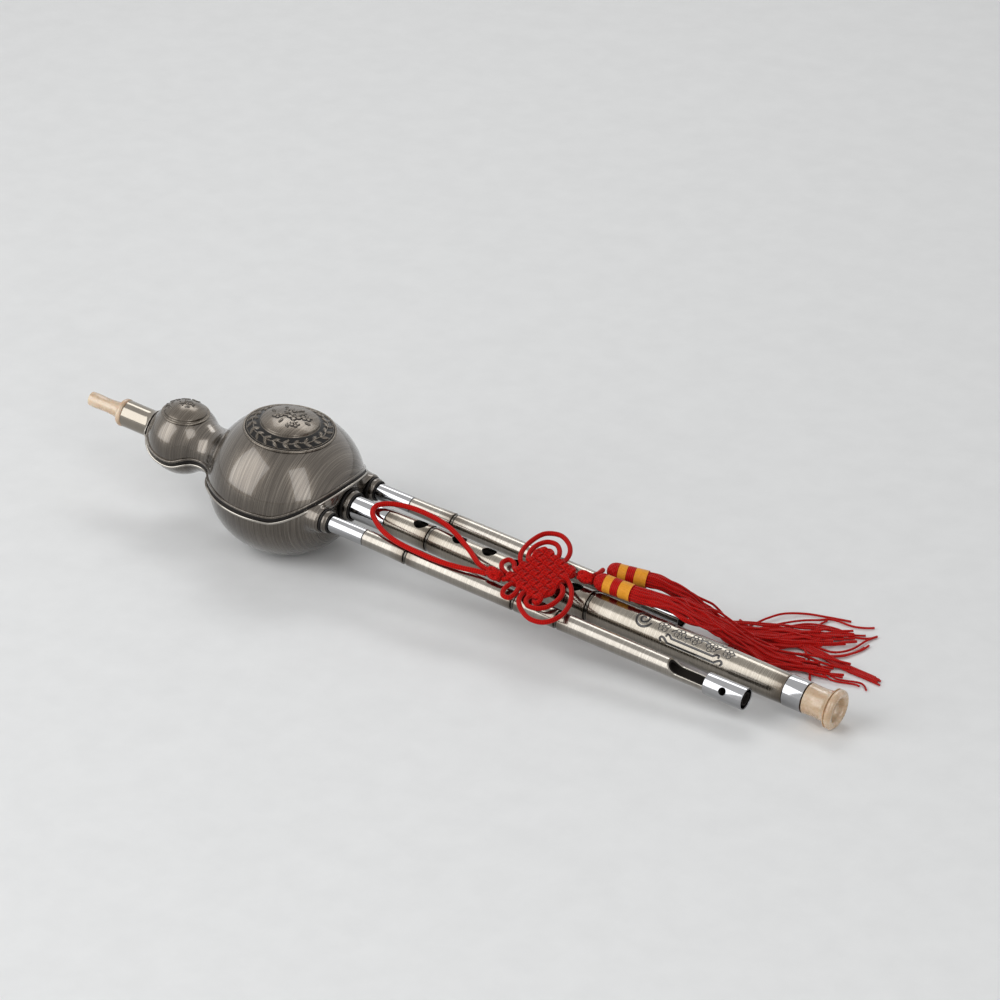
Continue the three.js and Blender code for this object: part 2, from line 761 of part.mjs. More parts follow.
function knotRoute() {
  const turn = knotTurnShares;
  return [
    ...turn.start,
    ...strand(true, 0, true),
    ...turn.topLeftTuck,
    ...strand(true, 1, false),
    ...turn.lowerLeftLoop,
    ...strand(true, 2, true),
    ...turn.topInnerLoop,
    ...strand(false, 3, true),
    ...turn.bottomInnerLoop,
    ...strand(true, 4, true),
    ...turn.topRightTuck,
    ...strand(true, 5, false),
    ...turn.bottomCorner,
    ...strand(false, 0, false),
    ...turn.upperLeftLoop,
    ...strand(false, 1, true),
    ...turn.bottomRightTuck,
    ...strand(false, 2, false),
    ...turn.topOuterLoop,
    ...strand(true, 3, false),
    ...turn.bottomOuterLoop,
    ...strand(false, 4, false),
    ...turn.leftTuck,
    ...strand(false, 5, true),
    ...turn.end,
  ].map(knotPlace);
}

// Least clear distance between parts of one cord that are not neighbours along it
function selfGap(curve, radius) {
  const length = curve.getLength();
  const count = Math.ceil(length / radius);
  const points = curve.getSpacedPoints(count);
  const skip = Math.ceil((4 * radius) / (length / count));
  let least = Infinity;
  for (let i = 0; i < points.length; i += 1) {
    for (let j = i + skip; j < points.length; j += 1) {
      least = Math.min(least, points[i].distanceTo(points[j]));
    }
  }
  return least - 2 * radius;
}

// Charm pieces that are turned about their own axis and laid between two places
function laid(body, from, to) {
  const direction = new THREE.Vector3(...to).sub(new THREE.Vector3(...from)).normalize();
  const turn = new THREE.Quaternion().setFromUnitVectors(new THREE.Vector3(1, 0, 0), direction);
  const matrix = new THREE.Matrix4().compose(
    new THREE.Vector3(...from), turn, new THREE.Vector3(1, 1, 1),
  );
  return body.transform(matrix.toArray());
}

function buttonKnot() {
  const half = buttonLength / 2;
  const bulge = arcPoints(half, 0, 1, Math.PI * 0.88, Math.PI * 0.12)
    .map(([x, y]) => [half + (x - half) * half, y * buttonRadius]);
  return turned([[0, 0], [0, tasselNeckRadius], ...bulge, [buttonLength, tasselNeckRadius],
    [buttonLength, 0]], smallSides);
}

function tasselHead() {
  const cap = arcPoints(tasselCapLength, 0, 1, Math.PI * 0.95, Math.PI / 2)
    .map(([x, y]) => [tasselCapLength + (x - tasselCapLength) * tasselCapLength,
      y * tasselHeadRadius]);
  return turned([[0, 0], ...cap, [tasselHeadLength, tasselHeadRadius], [tasselHeadLength, 0]],
    smallSides);
}

const buttonPlaces = {
  left: { from: [248, -16.6, 9.4], to: [256, -17.8, 9.6] },
  right: { from: [285.1, 3.4, 12.7], to: [293.1, 3.9, 13.4] },
};

// The cord that parts from the right button knot to the tassel behind
const partingRoute = [
  [291.2, 7.4, 13.2], [291.6, 10.5, 12.9], [291, 13.8, 12.2], [290.4, 16.4, 11.5],
];

const tasselHeads = {
  front: { from: [293.5, 3.9, 13.7], to: [313.4, 5.6, 13.5] },
  back: { from: [291.4, 18.5, 11.2], to: [310.6, 23.9, 11] },
};

// Each skirt: centre, half width across and half thickness, from its head to its spread ends
const tasselSkirts = {
  front: [
    [[328, 12, 13.4], 5.5, 3], [[341, 18.5, 11.8], 6.5, 2.8],
    [[352, 24.5, 5.5], 7.5, 3.2], [[362, 29, -2.5], 8.5, 3.4], [[376, 33.5, -8.8], 9, 2.6],
    [[394, 38.5, -8.4], 9.5, 2], [[414, 42.5, -7.3], 9, 1.4],
  ],
  back: [
    [[319, 28, 9.8], 4.2, 3.2], [[328, 33, 4.2], 4.8, 3.4],
    [[337, 37.8, -3.6], 5.6, 3.6], [[347, 42, -10.2], 6.6, 3.2], [[360, 47, -11], 8, 2.4],
    [[374, 53, -9.9], 9, 2.1], [[388, 62, -9.1], 9, 1.8], [[402, 74, -8.4], 7, 1.3],
  ],
};

// Strands drawn as one draped body that leaves its head square and spreads to its loose ends
function tasselSkirt(stations, { from, to }) {
  const axis = new THREE.Vector3(...to).sub(new THREE.Vector3(...from)).normalize();
  const root = new THREE.Vector3(...from).addScaledVector(axis, tasselHeadLength + seatGap);
  const all = [[root.toArray(), tasselSkirtRoot, tasselSkirtRoot], ...stations];
  const route = cordCurve(all.map(([centre]) => centre));
  const up = new THREE.Vector3(0, 0, 1);
  const rings = all.map(([centre, width, thick], i) => {
    const along = i === 0 ? axis : route.getTangent(i / (all.length - 1));
    const across = up.clone().cross(along).normalize();
    const normal = along.clone().cross(across).normalize();
    const ring = [];
    for (let s = 0; s < smallSides; s += 1) {
      const angle = (2 * Math.PI * s) / smallSides;
      ring.push(new THREE.Vector3(...centre)
        .addScaledVector(across, width * Math.cos(angle))
        .addScaledVector(normal, thick * Math.sin(angle)));
    }
    return ring;
  });
  return skinned(rings);
}

// Assembly

const instrument = new THREE.Group();

function add(name, material, body, at = [0, 0, 0]) {
  const { color, roughness, metalness } = materials[material];
  const mesh = new THREE.Mesh(
    meshGeometry(body),
    new THREE.MeshStandardMaterial({ color, roughness, metalness }),
  );
  mesh.name = name;
  mesh.position.set(...at);
  instrument.add(mesh);
  return mesh;
}

function addMouthpiece() {
  const collarStart = mouthpieceReach - mouthpieceCollarWidth;
  const tip = mouthpieceTipRadius;
  const outside = [
    [0, mouthpieceBore],
    [0, tip * 0.8],
    [tip * 0.3, tip],
    [tip * 1.4, tip * 1.06],
    [collarStart / 2, tip],
    [collarStart * 0.8, (tip + mouthpieceRootRadius) / 2],
    [collarStart, mouthpieceRootRadius],
    [collarStart, mouthpieceCollarRadius - seatGap],
    [collarStart + seatGap, mouthpieceCollarRadius],
    [mouthpieceReach - seatGap, mouthpieceCollarRadius],
    [mouthpieceReach, mouthpieceCollarRadius - seatGap],
    [mouthpieceReach, tenonRadius],
    [mouthpieceReach + tenonLength, tenonRadius],
    [mouthpieceReach + tenonLength, mouthpieceBore],
  ];
  add('mouthpiece', 'resin', turned(outside));
  const corkStart = mouthpieceReach + seatGap;
  add('mouthpiece_cork', 'cork', tube(corkStart, mouthpieceReach + tenonLength - seatGap,
    tenonRadius + seatGap + tenonCorkWall, tenonRadius + seatGap));
}

function addGourd() {
  add('lower_shell', 'nickel', lowerShell());
  add('upper_shell', 'nickel', upperShell());
  add('seam_gasket', 'black', seamGasket());
  add('large_medallion', 'nickel',
    medallion(largeX, largeMedallionRadius, largeDiscRadius, largeDiscHeight));
  add('small_medallion', 'nickel',
    medallion(smallX, smallMedallionRadius, smallMedallionRadius, smallDiscHeight));
}

function addSockets() {
  const discs = Object.values(sockets).map(({ y, ferrule }) => rod(corkStart, corkEnd,
    socketBore(ferrule) + gourdWall).translate([0, y, pipeHeight]));
  let seat = Manifold.hull(discs).intersect(gourd(-gourdWall - seatGap, chamberSides, chamberStep));
  for (const { y, ferrule } of Object.values(sockets)) {
    seat = seat.subtract(rod(corkStart - overrun, corkEnd + overrun, socketBore(ferrule))
      .translate([0, y, pipeHeight]));
  }
  add('pipe_seat', 'liner', seat);
  for (const [name, { y, ferrule, radius }] of Object.entries(sockets)) {
    const at = [0, y, pipeHeight];
    const inner = ferrule + slideGap;
    const ringStart = noseX + seatGap / 2;
    const nutStart = ringStart + socketRingWidth + seatGap / 2;
    const lipStart = nutStart + socketNutWidth + seatGap / 2;
    const sides = name === 'main' ? pipeSides : smallSides;
    add(`${name}_socket_cork`, 'cork', tube(corkStart + seatGap, corkEnd - seatGap,
      inner + socketCorkWall, inner, sides), at);
    add(`${name}_socket_ring`, 'black', tube(ringStart, ringStart + socketRingWidth,
      radius, inner, sides), at);
    add(`${name}_socket_nut`, 'nickel', turned([
      [nutStart, inner], [nutStart, radius - seatGap], [nutStart + socketNutWidth, radius - 3 * seatGap],
      [nutStart + socketNutWidth, inner],
    ], sides), at);
    add(`${name}_socket_seal`, 'black', tube(lipStart, lipStart + socketRingWidth / 2,
      radius - 3 * seatGap, inner, sides), at);
  }
}

function addMainPipe() {
  const at = [0, 0, pipeHeight];
  const ferruleStart = noseX - gourdWall - pipeSeatLength;
  const half = nodeWidth / 2 + seatGap;
  add('main_liner', 'liner', mainLiner(), at);
  add('main_plug', 'liner', rod(pipeStart, pipeStart + plugLength - overrun / 2,
    mainBore - seatGap), at);
  add('main_reed', 'brass', reed(mainLinerRadius), at);
  add('main_ferrule', 'chrome', tube(ferruleStart, ferruleEnd, mainFerruleRadius,
    mainLinerRadius + seatGap), at);
  const first = swell(ferruleEnd + seatGap, firstNodeX - half, mainFerruleRadius, mainFirstNodeRadius);
  const second = swell(firstNodeX + half, secondNodeX - half, mainFirstNodeRadius,
    mainSecondNodeRadius);
  const third = swell(secondNodeX + half, endRingX - seatGap, mainSecondNodeRadius, mainEndRadius);
  [first, second, third].forEach((outer, i) => {
    add(`main_section_${i + 1}`, 'nickel', fingerHoles(sleeve(outer, linerRadiusAt)), at);
  });
  [[firstNodeX, mainFirstNodeRadius], [secondNodeX, mainSecondNodeRadius]].forEach(([x, r], i) => {
    add(`main_node_ring_${i + 1}`, 'chrome', tube(x - nodeWidth / 2, x + nodeWidth / 2,
      r - nodeGroove, linerRadiusAt(x + nodeWidth) + seatGap), at);
  });
  add('main_end_ring', 'chrome', tube(endRingX, capX, endRingRadius,
    mainLinerEndRadius + seatGap), at);
  add('end_cap', 'resin', endCap(), at);
}

function addDrone(name, length, side) {
  const at = [0, droneYs[name], pipeHeight];
  const ferruleStart = noseX - gourdWall - pipeSeatLength;
  const sleeveStart = noseX + length - droneSleeveLength;
  const sleeveInner = droneSleeveRadius - droneSleeveWall;
  add(`${name}_drone_liner`, 'liner', droneLiner(length, side), at);
  add(`${name}_drone_plug`, 'liner', rod(pipeStart, pipeStart + plugLength - overrun / 2,
    droneBore - seatGap, smallSides), at);
  add(`${name}_drone_reed`, 'brass', reed(droneLinerRadius), at);
  add(`${name}_drone_ferrule`, 'chrome', tube(ferruleStart, ferruleEnd, droneFerruleRadius,
    droneLinerRadius + seatGap, smallSides), at);
  droneSections(length).forEach((body, i) => {
    add(`${name}_drone_section_${i + 1}`, 'nickel', body, at);
  });
  const sleeveBody = tube(sleeveStart, noseX + length, droneSleeveRadius, sleeveInner, smallSides)
    .add(tube(sleeveStart, sleeveStart + overrun, sleeveInner + droneSleeveWall / 2,
      droneLinerRadius + seatGap, smallSides))
    .subtract(sleeveHole(length, side));
  add(`${name}_drone_sleeve`, 'chrome', sleeveBody, at);
}

function addCharm() {
  const loop = cordCurve(loopRoute);
  const knot = cordCurve(knotRoute());
  const gap = selfGap(knot, knotCordRadius);
  console.log(`knot cord: ${knot.getLength().toFixed(0)} mm, least self gap ${gap.toFixed(2)} mm`);
  if (gap < leastSelfGap) console.log('knot cord: the least self gap is too small');
  add('hanging_loop', 'red', cord(loop, cordRadius, 8, 2.4 * cordRadius * 2));
  add('endless_knot', 'red', cord(knot, knotCordRadius, 6, 2.8 * knotCordRadius));
  for (const [name, { from, to }] of Object.entries(buttonPlaces)) {
    add(`${name}_button_knot`, 'red', laid(buttonKnot(), from, to));
  }
  add('parting_cord', 'red', cord(cordCurve(partingRoute), cordRadius, 8, 4 * cordRadius));
  for (const [name, { from, to }] of Object.entries(tasselHeads)) {
    add(`${name}_tassel_head`, 'red', laid(tasselHead(), from, to));
    add(`${name}_tassel_skirt`, 'red', tasselSkirt(tasselSkirts[name], tasselHeads[name]));
  }
}

instrument.rotation.y = pitch;
addMouthpiece();
addGourd();
addSockets();
addMainPipe();
addDrone('near', nearDroneLength, -1);
addDrone('far', farDroneLength, 1);

// Rests on the lower shell and the end cap, with the box of the instrument centred on the origin
const resting = new THREE.Group();
resting.add(instrument);
const extent = new THREE.Box3().setFromObject(resting, true);
const middle = extent.getCenter(new THREE.Vector3());
instrument.position.set(-middle.x, -middle.y, -extent.min.z);
addCharm();

export default resting;
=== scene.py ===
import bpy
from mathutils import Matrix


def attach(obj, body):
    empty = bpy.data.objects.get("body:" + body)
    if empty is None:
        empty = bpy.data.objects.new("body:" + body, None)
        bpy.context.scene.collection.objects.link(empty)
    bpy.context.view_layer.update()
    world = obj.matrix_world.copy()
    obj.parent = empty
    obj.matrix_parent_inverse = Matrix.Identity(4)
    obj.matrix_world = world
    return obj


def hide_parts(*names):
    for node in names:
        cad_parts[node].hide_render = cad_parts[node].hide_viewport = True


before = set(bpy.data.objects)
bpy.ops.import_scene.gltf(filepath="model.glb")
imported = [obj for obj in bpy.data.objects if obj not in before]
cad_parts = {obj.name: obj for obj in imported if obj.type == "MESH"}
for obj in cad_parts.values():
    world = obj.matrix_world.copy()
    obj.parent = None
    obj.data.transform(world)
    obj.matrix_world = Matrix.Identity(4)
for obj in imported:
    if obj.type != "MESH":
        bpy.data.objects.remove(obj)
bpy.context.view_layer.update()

import math
import random

import bmesh
import bpy
import numpy as np
from mathutils import Matrix, Vector

MM = 0.001
TAU = 2 * math.pi
PITCH = math.radians(4.901013)
PLACE = Vector((-0.21409038, 0.0, 0.04467497))
INSTRUMENT = Matrix.Translation(PLACE) @ Matrix.Rotation(PITCH, 4, "Y")
scene = bpy.context.scene

# Places along X, radii and lengths in mm. Those that the CAD source has too are the same in it.
SMALL_X, LARGE_X, NOSE_X = 57.8, 120.0, 156.5
SMALL_R, LARGE_R, LARGE_HALF_HEIGHT = 18.0, 38.2, 35.2
NECK_R, NECK_FILLET, WAIST_FILLET, NECK_END = 6.8, 7.0, 12.0, 40.9
SEAM_START, SEAM_RISE = SMALL_X - 0.9 * SMALL_R, 16.5
PIPE_Z, DRONE_Y = 1.5, 19.5
LOBE_START, SOCKET_LAND, WEB_HALF = LARGE_X + LARGE_R / 3, 1.4, 4.6
LOBES = ((0.0, 8.0), (-DRONE_Y, 6.0), (DRONE_Y, 6.0))
FERRULE_START, FERRULE_END, FIRST_NODE, SECOND_NODE = 142.9, 180.5, 205.5, 296.5
END_RING, CAP_X, FLANGE_X = 402.5, 412.2, 427.2
DRONE_NODES = (205.5, 266.5, 290.5)
FERRULE_R, FIRST_R, SECOND_R, END_R = 5.9, 6.5, 7.9, 7.2
DRONE_FERRULE_R, DRONE_NODE_R, DRONE_END_R, DRONE_LINER_R = 4.1, 4.6, 4.2, 3.2
NODE_GAP, END_GAP = 0.95, 0.3
MAIN_HOLES, THUMB_HOLE = (198.5, 220.7, 237.7, 253.9, 270.1, 286.1), 187.5
SLEEVE_LENGTH, WINDOW_LENGTH, LINER_START = 20.4, 21.0, 155.0
LENGTH, FAR_END, FAR_TRAVEL, MAIN_CLEAR, DRONE_CLEAR = 430.0, 334.6, 11.5, 8.0, 5.5


def assign(thing, **settings):
    for key, value in settings.items():
        setattr(thing, key, value)
    return thing


def placed(name, data):
    obj = bpy.data.objects.new(name, data)
    scene.collection.objects.link(obj)
    return obj


def towards(azimuth, elevation):
    """The direction to a place seen from the object at these angles, in degrees."""
    a, e = math.radians(azimuth), math.radians(elevation)
    return Vector((math.sin(a) * math.cos(e), -math.cos(a) * math.cos(e), math.sin(e)))


# Camera

def make_camera():
    azimuth, elevation, roll = 33.48615, 28.79070, math.radians(0.40342)
    back = towards(azimuth, elevation)
    level = Vector((math.cos(math.radians(azimuth)), math.sin(math.radians(azimuth)), 0.0))
    rise = back.cross(level)
    right = math.cos(roll) * level + math.sin(roll) * rise
    up = -math.sin(roll) * level + math.cos(roll) * rise
    camera = placed("Camera", bpy.data.cameras.new("Camera"))
    turn = Matrix((right, up, back)).transposed().to_4x4()
    camera.matrix_world = Matrix.Translation((0.97270355, -1.42638404, 0.98538679)) @ turn
    assign(camera.data, lens=150.05, sensor_width=36.0, shift_x=0.00035, shift_y=0.030,
           clip_start=0.05, clip_end=20.0)
    scene.camera = camera


make_camera()


# Mesh making

pieces = []


def settle():
    """Moves the pieces made so far from the instrument's frame into the row frame."""
    for obj, body in pieces:
        obj.data.transform(INSTRUMENT)
        obj.matrix_world = Matrix()
        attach(obj, body)
    pieces.clear()


def stand_for(piece, slot, *nodes):
    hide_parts(*nodes)
    return piece


def with_bmesh(mesh, work):
    bm = bmesh.new()
    bm.from_mesh(mesh)
    work(bm)
    bm.to_mesh(mesh)
    bm.free()
    mesh.update()


def finish_mesh(mesh, smooth_angle):
    """Merges doubles; edges are sharp where faces turn more than smooth_angle."""
    def work(bm):
        bmesh.ops.remove_doubles(bm, verts=bm.verts, dist=2e-6)
        bmesh.ops.recalc_face_normals(bm, faces=bm.faces)
        limit = math.radians(smooth_angle)
        for face in bm.faces:
            face.smooth = True
        for edge in bm.edges:
            if len(edge.link_faces) == 2 and edge.calc_face_angle(0.0) > limit:
                edge.smooth = False
    with_bmesh(mesh, work)


def raw_mesh(name, verts, faces):
    mesh = bpy.data.meshes.new(name)
    mesh.from_pydata([tuple(float(c) * MM for c in v) for v in verts], [], faces)
    return assign(placed(name, mesh), matrix_world=INSTRUMENT)


def add_mesh(name, shape, body, materials, smooth_angle=35.0, indices=None, fill=None):
    """A new piece from (verts, faces) or (verts, faces, uvs), with its verts in mm."""
    verts, faces, *uvs = shape
    obj = raw_mesh(name, verts, faces)
    mesh = obj.data
    if uvs:
        layer = mesh.uv_layers.new(name="UVMap")
        layer.data.foreach_set("uv", np.asarray(uvs[0], dtype=np.float32).ravel())
    if fill is not None:
        layer = mesh.attributes.new("fill", "FLOAT", "POINT")
        layer.data.foreach_set("value", np.asarray(fill, dtype=np.float32))
    if indices is not None:
        mesh.polygons.foreach_set("material_index", np.asarray(indices, dtype=np.int32))
    for material in materials if isinstance(materials, list) else [materials]:
        mesh.materials.append(material)
    finish_mesh(mesh, smooth_angle)
    pieces.append((obj, body))
    return obj


def modify(obj, smooth_angle, kind, *each):
    """Gives a piece one modifier of this kind for each of the settings, and applies them."""
    for settings in each:
        assign(obj.modifiers.new(kind, kind), **settings)
    graph = bpy.context.evaluated_depsgraph_get()
    graph.update()
    mesh = bpy.data.meshes.new_from_object(obj.evaluated_get(graph))
    obj.modifiers.clear()
    obj.data = mesh
    finish_mesh(mesh, smooth_angle)


def cutter(name, verts, faces):
    obj = raw_mesh(name, verts, faces)
    with_bmesh(obj.data, lambda bm: bmesh.ops.recalc_face_normals(bm, faces=bm.faces))
    return obj


def cut(obj, smooth_angle, *cutters):
    modify(obj, smooth_angle, "BOOLEAN",
           *(dict(operation="DIFFERENCE", solver="EXACT", object=tool) for tool in cutters))
    for tool in cutters:
        bpy.data.objects.remove(tool, do_unlink=True)


def circle(radius, sides):
    return [(radius * math.cos(TAU * s / sides), radius * math.sin(TAU * s / sides))
            for s in range(sides)]


def net(rows, columns, ring=False, around=True, caps=False):
    """Faces between rows of points; ring joins the last row to the first, around the last column."""
    faces = []
    for i in range(rows if ring else rows - 1):
        a, b = i * columns, (i + 1) % rows * columns
        for s in range(columns if around else columns - 1):
            t = (s + 1) % columns
            faces.append((a + s, a + t, b + t, b + s))
    if caps:
        faces += [tuple(range(columns)), tuple(range((rows - 1) * columns, rows * columns))]
    return faces


def net_uvs(along, sides):
    """UVs of a net: u is the length along it in mm, and v goes from 0 to 1 round it."""
    return [(u, v / sides) for u0, u1 in zip(along[:-1], along[1:]) for s in range(sides)
            for u, v in ((u0, s), (u0, s + 1), (u1, s + 1), (u1, s))]


def revolve(profile, sides=96, centre=(0.0, 0.0), ring=True):
    """Turns (x, r) points about the line y, z = centre along X. ring joins last to first."""
    verts = [(x, centre[0] + y, centre[1] + z) for x, r in profile for y, z in circle(r, sides)]
    return verts, net(len(profile), sides, ring)


def bezier(points, t):
    n = len(points) - 1
    return sum(math.comb(n, k) * (1 - t) ** (n - k) * t ** k * np.array(p, dtype=float)
               for k, p in enumerate(points))


def rounded(profile, radius, steps=4):
    """Rounds each corner of a closed profile."""
    out = []
    for i, corner in enumerate(profile):
        p = np.array(corner, dtype=float)
        a, b = profile[i - 1] - p, profile[(i + 1) % len(profile)] - p
        la, lb = np.linalg.norm(a), np.linalg.norm(b)
        if math.acos(max(-1.0, min(1.0, float(a @ b) / (la * lb)))) > math.radians(160):
            out.append(tuple(p))
            continue
        reach = min(radius, 0.45 * la, 0.45 * lb)
        bend = p + a / la * reach, p, p + b / lb * reach
        out += [tuple(bezier(bend, k / steps)) for k in range(steps + 1)]
    return out


def turned(name, profile, body, material, centre, radius, sides):
    return add_mesh(name, revolve(rounded(profile, radius), sides, centre), body, material)


def turned_skin(node, slot, *rest):
    """A turned piece that stands for the CAD node of its name."""
    stand_for(turned(f"{node}_skin", *rest), slot, node)


def ring_profile(start, end, outer, inner):
    return [(start, inner), (start, outer), (end, outer), (end, inner)]


def catmull(points, per):
    """A centripetal curve through the points, in even steps between each two."""
    pts = [np.array(p, dtype=float) for p in points]
    pts = [2 * pts[0] - pts[1], *pts, 2 * pts[-1] - pts[-2]]
    out = []
    for p0, p1, p2, p3 in zip(pts, pts[1:], pts[2:], pts[3:]):
        d0, d1, d2 = (max(1e-4, np.linalg.norm(b - a) ** 0.5)
                      for a, b in ((p0, p1), (p1, p2), (p2, p3)))
        t1 = ((p1 - p0) / d0 - (p2 - p0) / (d0 + d1) + (p2 - p1) / d1) * d1
        t2 = ((p2 - p1) / d1 - (p3 - p1) / (d1 + d2) + (p3 - p2) / d2) * d1
        for k in range(per):
            t = k / per
            out.append((2 * t ** 3 - 3 * t ** 2 + 1) * p1 + (t ** 3 - 2 * t ** 2 + t) * t1
                       + (-2 * t ** 3 + 3 * t ** 2) * p2 + (t ** 3 - t ** 2) * t2)
    return np.array(out + [pts[-2]])


def lengths_along(pts):
    return np.concatenate([[0], np.cumsum(np.linalg.norm(np.diff(pts, axis=0), axis=1))])


def resample(points, step, closed=False):
    pts = np.vstack([points, points[:1]]) if closed else points
    lengths = lengths_along(pts)
    count = max(2, int(round(lengths[-1] / step)))
    at = np.linspace(0, lengths[-1], count + 1)
    out = np.column_stack([np.interp(at, lengths, pts[:, k]) for k in range(3)])
    return out[:-1] if closed else out


def unit(vectors):
    """One vector, or each row of an array, at length 1."""
    return vectors / np.linalg.norm(vectors, axis=-1, keepdims=True)


def frames(pts, closed, up):
    """Normals and binormals along a path, turned as little as possible or held to up."""
    if closed:
        tangents = unit(np.roll(pts, -1, axis=0) - np.roll(pts, 1, axis=0))
    else:
        tangents = unit(np.gradient(pts, axis=0))
    if up is not None:
        normals = unit(up - (up * tangents).sum(axis=1)[:, None] * tangents)
        return normals, np.cross(tangents, normals)
    first = np.cross(tangents[0], [0.0, 0.0, 1.0])
    if np.linalg.norm(first) < 1e-3:
        first = np.cross(tangents[0], [0.0, 1.0, 0.0])
    normals = [unit(first)]
    for tangent in tangents[1:]:
        normals.append(unit(normals[-1] - (normals[-1] @ tangent) * tangent))
    return np.array(normals), np.cross(tangents, normals)


def sweep(pts, section, closed=False, up=None, radii=1.0):
    """Sweeps a closed section of (n, b) offsets, or one for each ring, along a path in mm."""
    normals, binormals = frames(pts, closed, up)
    section = np.asarray(section, dtype=float)
    section = section[None] if section.ndim == 2 else section
    rings, sides = len(pts), section.shape[1]
    scale = np.broadcast_to(radii, rings)[:, None, None]
    verts = (pts[:, None, :] + scale
             * (section[:, :, 0:1] * normals[:, None, :]
                + section[:, :, 1:2] * binormals[:, None, :])).reshape(-1, 3)
    along = lengths_along(np.vstack([pts, pts[:1]]) if closed else pts)
    faces, uvs = net(rings, sides, closed, caps=not closed), net_uvs(along, sides)
    if not closed:
        faces[-2] = faces[-2][::-1]
        uvs += [(u, s / sides) for u in (0, along[-1]) for s in range(sides)]
    return verts, faces, uvs


def smooth(value, low, high):
    t = np.clip((value - low) / (high - low), 0, 1)
    return t * t * (3 - 2 * t)


def gather(parts):
    """Joins several (verts, faces, uvs) into one."""
    verts, faces, uvs, base = [], [], [], 0
    for v, f, u in parts:
        verts.append(np.asarray(v))
        faces += [tuple(base + k for k in face) for face in f]
        uvs += u
        base += len(v)
    return np.vstack(verts), faces, uvs


# Materials

def add_node(tree, kind, inputs, **settings):
    made = assign(tree.nodes.new(kind), **settings)
    for key, value in inputs.items():
        if isinstance(value, bpy.types.NodeSocket):
            tree.links.new(value, made.inputs[key])
        else:
            made.inputs[key].default_value = value
    return made.outputs


class Shader:
    def __init__(self, name, **sockets):
        self.material = bpy.data.materials.new(name)
        self.material.use_nodes = True
        self.tree = self.material.node_tree
        self.bsdf = self.tree.nodes["Principled BSDF"]
        for key, value in sockets.items():
            self.bsdf.inputs[key.replace("_", " ")].default_value = value

    def node(self, kind, inputs, **settings):
        return add_node(self.tree, kind, inputs, **settings)

    def finish(self, colour, roughness, normal, **more):
        links = {"Base Color": colour, "Roughness": roughness, "Normal": normal, **more}
        for key, socket in links.items():
            self.tree.links.new(socket, self.bsdf.inputs[key])
        return self.material

    def coordinate(self, scale=(1.0, 1.0, 1.0)):
        """Places in the instrument's own frame, so that brushing follows the pipes' axis."""
        inputs = {"Vector": self.node("ShaderNodeTexCoord", {})["Object"], "Location": PLACE,
                  "Rotation": (0.0, PITCH, 0.0), "Scale": [1.0 / s for s in scale]}
        return self.node("ShaderNodeMapping", inputs, vector_type="TEXTURE")["Vector"]

    def noise(self, scale, detail=3.0, roughness=0.55):
        """Noise at one scale, or at three along the instrument's axes."""
        even = isinstance(scale, float)
        vector = self.coordinate() if even else self.coordinate(scale)
        return self.node("ShaderNodeTexNoise", {"Vector": vector, "Scale": scale if even else 1.0,
                                                "Detail": detail, "Roughness": roughness})["Fac"]

    def ramp(self, value, *stops):
        made = self.tree.nodes.new("ShaderNodeValToRGB")
        self.tree.links.new(value, made.inputs["Fac"])
        points = made.color_ramp.elements
        while len(points) < len(stops):
            points.new(0.5)
        for point, (at, colour) in zip(points, stops):
            assign(point, position=at, color=(*colour, 1.0))
        return made.outputs["Color"]

    def span(self, value, low, high, from_low=0.3, from_high=0.7):
        inputs = {"Value": value, "From Min": from_low, "From Max": from_high, "To Min": low,
                  "To Max": high}
        return self.node("ShaderNodeMapRange", inputs)["Result"]

    def math(self, kind, a, b=0.0):
        return self.node("ShaderNodeMath", {0: a, 1: b}, operation=kind)["Value"]

    def blend(self, *shares):
        """The sum of values, each times its share."""
        terms = [self.math("MULTIPLY", value, share) for value, share in shares]
        total = terms[0]
        for term in terms[1:]:
            total = self.math("ADD", total, term)
        return total

    def mix(self, share, a, b, kind="MIX"):
        return self.node("ShaderNodeMix", {0: share, 6: a, 7: b}, data_type="RGBA",
                         blend_type=kind)[2]

    def bump(self, height, strength, distance, **under):
        inputs = {"Height": height, "Strength": strength, "Distance": distance, **under}
        return self.node("ShaderNodeBump", inputs)["Normal"]

    def cord_angles(self, pitch, turns):
        """The angles that ridges follow along a cord and round it, from its UVs."""
        uv = self.node("ShaderNodeTexCoord", {})["UV"]
        parts = self.node("ShaderNodeSeparateXYZ", {"Vector": uv})
        return (self.math("MULTIPLY", parts["X"], TAU / pitch),
                self.math("MULTIPLY", parts["Y"], TAU * turns))


def times(colour, factor):
    return tuple(c * factor for c in colour)


